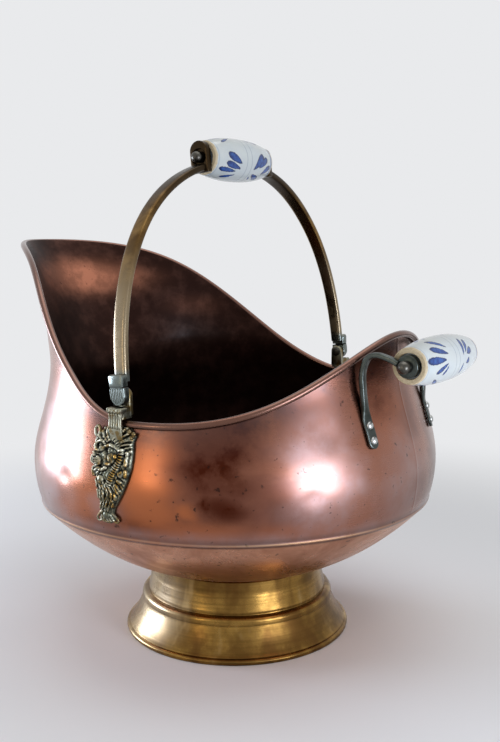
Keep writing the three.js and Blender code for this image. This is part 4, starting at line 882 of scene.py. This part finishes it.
# The mask's meridian leans a little and lies aside of the pivot's: share down, towards the lip
MASK_ASIDE, MASK_LEAN = 3.5, math.tan(math.radians(2))
mask_seats = []
for share, towards_lip in ((0.07, 3.4), (0.9, 0.0)):
    height = mix(MASK_TOP, MASK_BOTTOM, share)
    aside = MASK_ASIDE + (MASK_TOP - height) * MASK_LEAN + towards_lip
    mask_seats.append((MASK_ANGLE - aside / BELLY_RADIUS, height))
mask_rivets = rivets("mask_rivets", mask_seats, mask_brass, lift=3.3, grip=5.0)
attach(mask_rivets, "bucket")
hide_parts("mask_rivet_1_right", "mask_rivet_1_left",
            "mask_rivet_2_right", "mask_rivet_2_left")


# Pivot pins: dark steel, headed inside the lug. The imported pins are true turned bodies, so they
# stay and get an oiled, browned surface. The rods and nuts of both handles are the same metal.

# Browned steel, oiled: brownish grey to near black, with a soft light on it.
dark_metal, tree, place = new_material("browned steel, oiled")
grain, cloudy = clouding(tree, place, 9, 5.0, 0.6, 0.38, 0.68)
surface(tree, coats(tree, "#5a5852", (cloudy, "#37332e")), 0.28, [(cloudy, 0.14)],
        (0.2, 0.0002, grain))
coated(dark_metal, "pivot_pin_right", "pivot_pin_left", "bail_rod", "rear_rod")


# Bail arms: cast brass bars, filed nearly square and bent to an arch. Each ends below in a reeded
# palm on the pin, under a plain block, and above in an upright round-topped plate with a recess
# for the nut. The arch leans a little to the lip, and its grip stands slightly to the back.

PALM_FACE = 160.98
BAIL_LEAN, BAIL_GRIP_RISE, BAIL_RISE = math.radians(-5.5), 171.5, 168.1
BAIL_SPAN, BAIL_GRIP_ASIDE, ARCH_POWER = PALM_FACE - 7.7, 2.8, 2.26
PLATE_INNER, PLATE_OUTER, PLATE_HALF = 40.2, 45.7, 8.3
PLATE_FOOT, PLATE_SHOULDER = BAIL_GRIP_RISE - 11.9, BAIL_GRIP_RISE + 4.4
BORE, RECESS_EDGE, RECESS, RECESS_DEPTH = 2.8, 6.9, 6.4, 2.4
KNUCKLE_RADIUS, REED_PITCH, REED_ARC, CROSS_ROLL = 6.4, 1.56, 6.2, 6.2


def arch_height(span):
    return BAIL_RISE * (1 - (span / BAIL_SPAN) ** ARCH_POWER) ** (1 / ARCH_POWER)


def arch_span(height):
    return BAIL_SPAN * (1 - (height / BAIL_RISE) ** ARCH_POWER) ** (1 / ARCH_POWER)


def in_bail(points):
    """From the bail's own frame, with the pins on its y axis, to the bucket at rest."""
    x, y, z = np.moveaxis(np.asarray(points, float), -1, 0)
    cos, sin = math.cos(BAIL_LEAN), math.sin(BAIL_LEAN)
    return np.stack([x * cos + z * sin + PIVOT_X, y, z * cos - x * sin + PIVOT_HEIGHT], -1)


arm_shares = np.linspace(0, 1, 72) ** 0.85
arm_height = mix(10.0, arch_height(PLATE_OUTER), np.sin(arm_shares * math.pi / 2))
arm_aside = BAIL_GRIP_ASIDE * ease(2 * arm_shares - 1)
arm_tip = (BAIL_GRIP_ASIDE, mix(PLATE_INNER, PLATE_OUTER, 0.35), arm_height[-1])
arm_course = np.stack([arm_aside, arch_span(arm_height), arm_height], -1)
arm_course = np.concatenate([arm_course, [arm_tip]])
arm_thick = unit(np.cross(unit(np.gradient(arm_course, axis=0)), (1, 0, 0)))
bar_wide, bar_deep = squared(np.linspace(0, 2 * math.pi, 40, endpoint=False), 0.56)
arm_rings = []
for i, (point, thick) in enumerate(zip(arm_course, arm_thick)):
    half = mix(5.4, 6.5, i / (len(arm_course) - 1))
    ring = np.outer(bar_wide * half, (1, 0, 0)) + np.outer(bar_deep * 3.0, thick)
    arm_rings.append(point + ring)
knuckle = [(KNUCKLE_RADIUS * math.cos(t), KNUCKLE_RADIUS * math.sin(t))
           for t in np.linspace(math.pi, 2 * math.pi, 21)]
knuckle += [(KNUCKLE_RADIUS, 6), (-KNUCKLE_RADIUS, 6)]
block = [(-6.0, 6.8), (6.0, 6.8), (6.2, 9), (6.6, 13.0), (6.2, 14.8), (5.0, 15.6)]
block += [(-x, z) for x, z in block[:1:-1]]
# The palm's layers: distance from the bucket's middle, and how far each is set in
arm = [shell(arm_rings),
       tab_skin(knuckle, ((154.1, 0.6), (154.7, 0), (159.6, 0), (160.1, 0.5))),
       tab_skin(block, ((154.1, 0.8), (154.7, 0.2), (159.8, 0), (160.7, 0.3), (161.1, 1.1)))]
for i in range(8):
    aside = (i - 3.5) * REED_PITCH
    reed_foot = -math.sqrt(REED_ARC ** 2 - aside ** 2) + 1.2
    reed = [(aside, 160.2, z) for z in np.linspace(reed_foot, 5.6, 8)]
    arm.append(tube(reed, [0.5, 0.7] + [0.76] * 5 + [0.5]))
roll = [(x, 160.0, CROSS_ROLL) for x in np.linspace(-5.9, 5.9, 6)]
arm.append(tube(roll, [0.5] + [0.8] * 4 + [0.5]))


def plate_ring(inset, y, recess=0.0):
    """The end plate's upright outline, or with a recess radius the round edge of its recess."""
    turns = np.linspace(0, 2 * math.pi, 96, endpoint=False) - math.pi / 2
    x, z = np.cos(turns), np.sin(turns)
    reach = recess
    if not recess:
        half = PLATE_HALF - inset
        with np.errstate(divide="ignore", invalid="ignore"):
            sides = np.where(np.abs(x) > 1e-9, half / np.abs(x), 1e9)
            below = np.where(z < -1e-9, (BAIL_GRIP_RISE - PLATE_FOOT - inset) / -z, 1e9)
        lift = PLATE_SHOULDER - BAIL_GRIP_RISE
        round_top = lift * z + np.sqrt(np.maximum(half ** 2 - (lift * x) ** 2, 0))
        reach = np.where(round_top * z > lift, round_top, np.minimum(sides, below))
    return np.stack([BAIL_GRIP_ASIDE + reach * x, y + 0 * x, BAIL_GRIP_RISE + reach * z], -1)


arm.append(shell([plate_ring(*ring) for ring in (
    (0, PLATE_INNER, BORE), (0.6, PLATE_INNER), (0, PLATE_INNER + 0.6), (0, PLATE_OUTER - 0.8),
    (0.25, PLATE_OUTER - 0.25), (0.8, PLATE_OUTER), (0, PLATE_OUTER, RECESS_EDGE),
    (0, PLATE_OUTER - 0.4, RECESS + 0.1), (0, PLATE_OUTER - RECESS_DEPTH, RECESS),
    (0, PLATE_OUTER - RECESS_DEPTH, BORE))], True))
arm = [(in_bail(points), faces) for points, faces in arm]

# Cast brass, filed and aged: brownish gold, paler and greyer lower down, nearly black by the grip
# and grey on the palms.
arm_brass, tree, place = new_material("cast brass, filed and aged")
grain, cloudy = clouding(tree, place, 26, 5.0, 0.6, 0.38, 0.66, distortion=0.5)
upwards = node(tree, "SeparateXYZ", {0: place}).outputs["Z"]
# Heights in metres between which each tone comes in
paler_below, high, low = [
    node(tree, "MapRange", {0: upwards, 1: start, 2: end}, interpolation_type="SMOOTHSTEP")
    for start, end in ((0.335, 0.27), (0.33, 0.385), (0.240, 0.233))]
colour = coats(tree, "#8a6d42", (cloudy, "#553e20"), (paler_below, "#8f8068"), (high, "#352a1c"),
               (low, "#6c736f"))
surface(tree, colour, 0.24, [(cloudy, 0.14)], (0.15, 0.0002, grain))

for side, skins in (("right", arm), ("left", mirrored(arm))):
    arm_piece = piece("bail_arm_casting_" + side, skins, arm_brass, 40)
    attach(arm_piece, "bail")
    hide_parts("bail_arm_" + side)


# Nuts: domed nuts of browned steel, one on each end of both rods. Those of the bail sit in the
# recess of the end plate, and those of the rear handle against its eyes.

HANDLE_X, HANDLE_HEIGHT = float(rim_radius(math.pi)) + 31.7, 239.8
EYE_INNER, EYE_THICKNESS = 44.7, 6.6
BAIL_GRIP, REAR_GRIP = in_bail((BAIL_GRIP_ASIDE, 0, BAIL_GRIP_RISE)), (HANDLE_X, 0, HANDLE_HEIGHT)
NUT_RADIUS, DOME_FOOT, DOME_RISE, NUT_GAP = 4.5, 4.3, 4.3, 0.3
nut_profile = [(0, 6.2), (2.8, 6.2), (2.8, 0), (4.2, 0), (4.5, 0.3), (4.5, 4.2)]
nut_profile += [(NUT_RADIUS * math.cos(t), DOME_FOOT + DOME_RISE * math.sin(t))
                for t in np.linspace(0.1, math.pi / 2, 9)[:-1]] + [(0, DOME_FOOT + DOME_RISE)]
for handle, body, centre, seat in (
        ("bail", "bail", BAIL_GRIP, PLATE_OUTER - RECESS_DEPTH + NUT_GAP),
        ("rear", "bucket", REAR_GRIP, EYE_INNER + EYE_THICKNESS + NUT_GAP)):
    for side, way in (("right", 1), ("left", -1)):
        profile = [(r, way * (seat + y)) for r, y in nut_profile]
        nut = turned(f"{handle}_domed_nut_{side}", profile, dark_metal, 48, centre, across=True)
        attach(nut, body)
        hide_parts(f"{handle}_nut_{side}")


# Grips: turned pottery barrels, white tin glaze over buff clay, painted by hand in cobalt with
# leaf sprays and thin grey rings under the shine. The ends are wiped bare, so the clay shows.

GRIP_RADIUS, GRIP_END = 17.3, 12.8


def grip_profile(half):
    """The barrel's outline: its swell, its flat ends and the recess and bore in each."""
    swell = [(mix(GRIP_RADIUS, GRIP_END, abs(u) ** 2.3), u * half)
             for u in np.linspace(-0.985, 0.985, 49)]
    end = [(12.2, half), (9.6, half), (9.2, half - 0.4), (9.2, half - 2.7), (9.0, half - 3.0),
           (3.8, half - 3.0)]
    return [(r, -y) for r, y in end[::-1]] + swell + end + [(3.8, 3.0 - half)]


# Leaves of one spray: place along the barrel and degrees round it, at tip and at base, and width
BAIL_LEAVES = (
    (-25.9, 13, -10.3, -12, 5.8), (-27.9, -14, -10.9, -27, 4.6), (-34.2, -35, -15.7, -36, 3.9),
    (-27.5, -66, -14.1, -47, 2.6), (21.6, 16, 8.0, -25, 6.6), (28.0, 8, 15.6, -20, 5.2),
    (34.0, -16, 22.0, -40, 5.2), (20.5, -62, 8.6, -41, 5.0), (8.4, -62, 6.2, -50, 1.8))
REAR_LEAVES = (
    (-30.3, 76, -14.9, 41, 3.4), (-35.5, 48, -16.6, 24, 4.6), (-44.0, 15, -21.3, 10, 5.6),
    (-32.6, -22, -18.4, 0, 3.4), (-22.9, -29, -16.8, -6, 2.2), (12.8, 56, 9.2, 11, 4.0),
    (20.7, 50, 14.0, 17, 4.4), (26.2, 22, 16.1, 13, 4.6), (21.0, -4, 14.9, -11, 4.0),
    (6.9, -36, 9.2, -9, 2.4))
# Painted lines round the barrel: place, half width, colour, cover
BAIL_LINES = (
    (-3.0, 0.3, "#8f99a3", 0.7), (3.5, 0.3, "#8f99a3", 0.7), (-36.6, 0.35, "#97a4b4", 0.6),
    (36.4, 1.0, "#4a6596", 0.8))
REAR_LINES = (
    (-4.5, 0.3, "#8f99a3", 0.7), (2.0, 0.3, "#8f99a3", 0.7), (-44.2, 0.35, "#97a4b4", 0.5),
    (43.6, 1.0, "#4a6596", 0.8))
# A painted leaf's half length and half width as shares of what the tables give, how far its
# outline wobbles in millimetres, and the radius on which the painting is measured
LEAF_LENGTH, LEAF_WIDTH, WOBBLE, PAINT_RADIUS = 0.53, 0.62, 1.4, GRIP_RADIUS * 0.96
THIRD = 2 * math.pi / 3


def painted_pottery(name, centre, half, facing, leaves, lines):
    """The glaze with its painting: a spray repeated three times round, the first facing a way."""
    made, tree, place = new_material(name)
    middle = [(centre[0] + AXIS_X) / 1000, centre[1] / 1000, centre[2] / 1000]
    from_axis = node(tree, "VectorMath", {0: place, 1: middle}, operation="SUBTRACT")
    in_mm = node(tree, "VectorMath", {0: from_axis, "Scale": 1000.0}, operation="SCALE")
    x, y, z = node(tree, "SeparateXYZ", {0: in_mm}).outputs
    wobble, wash, tint, grit, orange_peel = [
        node(tree, "TexNoise", {"Vector": in_mm, "Scale": scale, "Detail": detail})
        for scale, detail in ((0.6, 2.0), (0.3, 3.0), (0.08, 3.0), (0.7, 4.0), (0.25, 1.0))]
    turn = node(tree, "Math", {0: z, 1: x}, operation="ARCTAN2")
    faced = node(tree, "Math", {0: turn, 1: THIRD / 2 - math.radians(facing)}, operation="ADD")
    repeated = node(tree, "Math", {0: faced, 1: THIRD}, operation="FLOORED_MODULO")
    round_way = node(tree, "Math", {0: repeated, 1: PAINT_RADIUS, 2: -THIRD / 2 * PAINT_RADIUS},
                     operation="MULTIPLY_ADD")
    flat = node(tree, "CombineXYZ", {0: y, 1: round_way})
    wobbled = node(tree, "VectorMath", {0: wobble.outputs["Color"], 1: (WOBBLE, WOBBLE, 0),
                                        2: flat}, operation="MULTIPLY_ADD")
    nearest = None
    for y_tip, tip_degrees, y_base, base_degrees, width in leaves:
        tip = np.array((y_tip, math.radians(tip_degrees - facing) * PAINT_RADIUS))
        base = np.array((y_base, math.radians(base_degrees - facing) * PAINT_RADIUS))
        (at_y, at_round), reach = (tip + base) / 2 + WOBBLE / 2, tip - base
        leaf = node(tree, "Mapping", {
            "Vector": wobbled, "Location": (at_y, at_round, 0),
            "Rotation": (0, 0, math.atan2(reach[1], reach[0])),
            "Scale": (np.hypot(*reach) * LEAF_LENGTH, width * LEAF_WIDTH, 1)},
            vector_type="TEXTURE")
        along, beside, _ = node(tree, "SeparateXYZ", {0: leaf}).outputs
        fuller = node(tree, "Math", {0: along, 1: 0.42, 2: 0.85}, operation="MULTIPLY_ADD")
        across_leaf = node(tree, "Math", {0: beside, 1: fuller}, operation="DIVIDE")
        drop = node(tree, "CombineXYZ", {0: along, 1: across_leaf})
        out = node(tree, "VectorMath", {0: drop}, operation="LENGTH")
        nearest = node(tree, "Math", {0: nearest, 1: out}, operation="MINIMUM") if nearest else out
    painted, pooled = [
        node(tree, "MapRange", {0: nearest, 1: start, 2: end}, interpolation_type="SMOOTHSTEP")
        for start, end in ((1.05, 0.95), (0.55, 0.95))]
    washed = node(tree, "MapRange", {0: wash, 1: 0.35, 2: 0.65})
    from_middle = node(tree, "Math", {0: y}, operation="ABSOLUTE")
    ragged = node(tree, "Math", {0: wobble, 1: 2.4, 2: from_middle}, operation="MULTIPLY_ADD")
    bare = node(tree, "MapRange", {0: ragged, 1: half - 0.9, 2: half - 0.3},
                interpolation_type="SMOOTHSTEP")
    colour = coats(tree, "#b9c3c8", (tint, "#d0d3cc"))
    for place_on, half_width, paint, cover in lines:
        off = node(tree, "Math", {0: y, 1: place_on}, operation="SUBTRACT")
        gap = node(tree, "Math", {0: off}, operation="ABSOLUTE")
        band = node(tree, "MapRange", {0: gap, 1: half_width + 0.25, 2: half_width, 4: cover},
                    interpolation_type="SMOOTHSTEP")
        colour = coats(tree, colour, (band, paint))
    cobalt = coats(tree, "#15367a", (washed, "#2c5a9f"), (pooled, "#102757"))
    clay = coats(tree, "#d6c7a8", (grit, "#ab9874"))
    surface(tree, coats(tree, colour, (painted, cobalt), (bare, clay)),
            node(tree, "MapRange", {0: bare, 3: 0.1, 4: 0.7}),
            bumps=(0.12, 0.0005, orange_peel), metallic=0.0, others={"IOR": 1.5})
    return made


for name, centre, half, facing, leaves, lines in (
        ("bail_grip", BAIL_GRIP, 39.8, -26, BAIL_LEAVES, BAIL_LINES),
        ("rear_grip", REAR_GRIP, 47.3, 21, REAR_LEAVES, REAR_LINES)):
    pottery = painted_pottery("tin-glazed pottery, " + name.replace("_", " "), centre, half,
                              facing, leaves, lines)
    barrel = turned(name + "_barrel", grip_profile(half), pottery, 96, centre, across=True)
    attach(barrel, name)
    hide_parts(name)


# Rear straps: forged and bronzed bars, each with a round-ended palm riveted to the wall. It rises
# beside the back, crooks outwards over the rolled edge and ends in an eye for the rear rod.

STRAP_SIDE, PALM_SIDE, STRAP_BOTTOM, STRAP_PALM_TOP = 50.8, 48.4, 178.5, 202.0
CROOK_START, CROOK_TOP, EYE_RADIUS, RIM_CLEARANCE = 234.0, 246.4, 8.2, 4.6
STRAP_GAP, PALM_DEPTH, PALM_WIDTH, BAR_DEPTH, BAR_WIDTH = 0.3, 1.2, 4.5, 2.1, 3.1
TWIST_START, TWIST_RUN, NARROW_START, NARROW_RUN = 18.8, 23.5, 20.0, 11.8


def angle_at_side(side, height):
    """The wall's angle where it stands at a given distance to the side, behind the bowl."""
    angle = math.pi - math.asin(side / float(round_radius(height)))
    for _ in range(8):
        x, y, _z = wall_face(angle, height)
        angle = math.pi - math.asin(side / math.hypot(x, y))
    return angle


def palm_point(height):
    return wall(angle_at_side(PALM_SIDE, height), height, STRAP_GAP + PALM_DEPTH)


rise_x = float(wall_face(angle_at_side(STRAP_SIDE, CROOK_START), CROOK_START)[0])
rise_x += RIM_CLEARANCE + BAR_DEPTH
palm_end, eye_edge = palm_point(STRAP_PALM_TOP), HANDLE_X - EYE_RADIUS * 0.8
strap_line = smooth_line([
    palm_point(STRAP_BOTTOM), palm_point(mix(STRAP_BOTTOM, STRAP_PALM_TOP, 0.5)), palm_end,
    (mix(rise_x, palm_end[0], 0.14), STRAP_SIDE, mix(STRAP_PALM_TOP, CROOK_START, 0.62)),
    (rise_x, STRAP_SIDE, CROOK_START),
    (mix(rise_x, eye_edge, 0.14), STRAP_SIDE, mix(CROOK_START, CROOK_TOP, 0.78)),
    (mix(rise_x, eye_edge, 0.4), STRAP_SIDE, CROOK_TOP),
    (mix(rise_x, eye_edge, 0.74), STRAP_SIDE, mix(CROOK_TOP, HANDLE_HEIGHT, 0.3)),
    (eye_edge, STRAP_SIDE, mix(CROOK_TOP, HANDLE_HEIGHT, 0.75))], 30)
run = np.concatenate([[0], np.cumsum(np.linalg.norm(np.diff(strap_line, axis=0), axis=1))])
palm_steps = PALM_WIDTH * (1 - np.cos(np.linspace(0.15, math.pi / 2, 9)))
steps = np.concatenate([palm_steps, np.linspace(5.2, run[-1], 110)])
strap_course = np.stack([np.interp(steps, run, strap_line[:, k]) for k in range(3)], -1)
strap_along = unit(np.gradient(strap_course, axis=0))
square = wall_normal(angle_at_side(PALM_SIDE, 190), 190)
palm_lean = math.atan2(square[1], square[0])
strap_rings = []
for point, along, step in zip(strap_course, strap_along, steps):
    twist = palm_lean * (1 - float(ease((step - TWIST_START) / TWIST_RUN)))
    wide = np.array((-math.sin(twist), math.cos(twist), 0))
    thick = unit(np.cross(wide, along))
    wide = unit(np.cross(along, thick))
    narrowing = float(ease((step - NARROW_START) / NARROW_RUN))
    round_end = math.sqrt(max(0.02, 1 - (1 - min(step, PALM_WIDTH) / PALM_WIDTH) ** 2))
    half = mix(PALM_WIDTH, BAR_WIDTH, narrowing) * round_end
    deep = mix(PALM_DEPTH, BAR_DEPTH, narrowing)
    strap_rings.append(point + np.outer(bar_wide * half, wide) + np.outer(bar_deep * deep, thick))
eye_profile = [(2.8, 0), (7.6, 0), (8.0, 0.25), (8.2, 0.8), (8.2, 5.8), (8.0, 6.35), (7.6, 6.6),
               (2.8, 6.6)]
eye_rings = [[(HANDLE_X + r * math.cos(t), EYE_INNER + y, HANDLE_HEIGHT + r * math.sin(t))
              for r, y in eye_profile] for t in np.linspace(0, 2 * math.pi, 64, endpoint=False)]
strap = [shell(strap_rings), shell(eye_rings, True)]

# Forged metal, bronzed: greenish black with a dull shine.
bronzed, tree, place = new_material("forged metal, bronzed")
grain, cloudy = clouding(tree, place, 12, 5.0, 0.6, 0.38, 0.66)
surface(tree, coats(tree, "#4d524f", (cloudy, "#2f3430")), 0.26, [(cloudy, 0.14)],
        (0.25, 0.0003, grain))
for side, skins in (("right", strap), ("left", mirrored(strap))):
    strap_piece = piece("rear_strap_forging_" + side, skins, bronzed, 45)
    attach(strap_piece, "bucket")
    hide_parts("rear_strap_" + side)

# Tinned rivet metal: small bright grey heads on the dark straps.
pale_metal, tree, place = new_material("tinned rivet metal")
spots = node(tree, "TexNoise", {"Vector": place, "Scale": 1000 / 3, "Detail": 4.0})
surface(tree, coats(tree, "#cfd2d0", (spots, "#8f908c")), 0.3)
strap_seats = [(angle_at_side(PALM_SIDE, height), height)
               for height in mix(STRAP_BOTTOM, STRAP_PALM_TOP, np.array((0.24, 0.69)))]
strap_rivets = rivets("strap_rivets", strap_seats, pale_metal, lift=2.7, grip=4.4)
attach(strap_rivets, "bucket")
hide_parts("strap_rivet_1_right", "strap_rivet_1_left",
            "strap_rivet_2_right", "strap_rivet_2_left")


# Studio: a plain pale floor that fades into the background, soft light from large lamps, and the
# camera at the photograph's place.

PALE = linear("#e9eaec")
FADE_START, FADE_END, FLOOR_RADIUS = 0.36, 0.8, 3


def shown(tree):
    """Whether a ray sees the background, rather than brings light from it."""
    ray = node(tree, "LightPath").outputs
    sees = ray["Is Camera Ray"]
    for name in ("Is Glossy Ray", "Is Transmission Ray"):
        sees = node(tree, "Math", {0: sees, 1: ray[name]}, operation="ADD", use_clamp=True)
    return sees


floor_material, tree, place = new_material("studio floor")
away = node(tree, "VectorMath", {0: place}, operation="LENGTH")
fade = node(tree, "MapRange", {0: away, 1: FADE_START, 2: FADE_END},
            interpolation_type="SMOOTHSTEP")
faded = node(tree, "Math", {0: shown(tree), 1: fade}, operation="MULTIPLY", use_clamp=True)
matt = node(tree, "BsdfDiffuse", {"Color": "#ececec"})
glow = node(tree, "Emission", {"Color": PALE, "Strength": 1.0})
blend = node(tree, "MixShader", {0: faded, 1: matt, 2: glow})
node(tree, "OutputMaterial", {"Surface": blend})
floor_mesh = bpy.data.meshes.new("floor")
floor_mesh.from_pydata([(FLOOR_RADIUS * math.cos(t), FLOOR_RADIUS * math.sin(t), 0)
                        for t in np.linspace(0, 2 * math.pi, 64, endpoint=False)],
                       [], [list(range(64))])
floor_mesh.materials.append(floor_material)
in_scene("floor", floor_mesh)

world = bpy.data.worlds.new("studio")
bpy.context.scene.world = world
world.use_nodes = True
tree = world.node_tree
tree.nodes.clear()
dim = node(tree, "Background", {"Color": (1, 1, 1, 1), "Strength": 0.3})
bright = node(tree, "Background", {"Color": PALE, "Strength": 1.0})
both = node(tree, "MixShader", {0: shown(tree), 1: dim, 2: bright})
node(tree, "OutputWorld", {"Surface": both})

# Soft lamps: place, width and height in metres, radiance and colour, all aimed at the body
LAMPS = (("left_window", (-1.05, -0.42, 0.21), (0.64, 0.39), 13.0, (0.86, 0.95, 1.15)),
         ("right_window", (0.90, -0.25, 0.175), (0.36, 0.33), 12.5, (0.88, 0.95, 1.12)),
         ("warm_lamp", (-0.20, -1.40, 0.40), (0.24, 0.56), 3.8, (1.0, 0.84, 0.62)),
         ("top", (0.1, 0.2, 1.9), (1.6, 1.6), 1.6, (1.0, 1.0, 1.0)))
AIM = Vector((0, 0, 0.18))
for name, at, (width, tall), radiance, tint in LAMPS:
    lamp = bpy.data.lights.new(name, "AREA")
    lamp.shape, lamp.size, lamp.size_y = "RECTANGLE", width, tall
    lamp.energy, lamp.color = radiance * math.pi * width * tall, tint
    lit = in_scene(name, lamp)
    lit.visible_camera = False
    lit.location = at
    lit.rotation_euler = (AIM - Vector(at)).to_track_quat("-Z", "Y").to_euler()

camera_data = bpy.data.cameras.new("camera")
camera_data.lens, camera_data.sensor_width = 46.10, 36.0
camera = in_scene("camera", camera_data)
camera.matrix_world = Matrix((
    (0.82524, -0.07394, 0.55992, (AXIS_X + 457.229) / 1000),
    (0.56474, 0.11958, -0.81656, -0.64469),
    (-0.00658, 0.99007, 0.14044, 0.32943), (0, 0, 0, 1)))
bpy.context.scene.camera = camera
bpy.context.scene.view_settings.view_transform = "Standard"
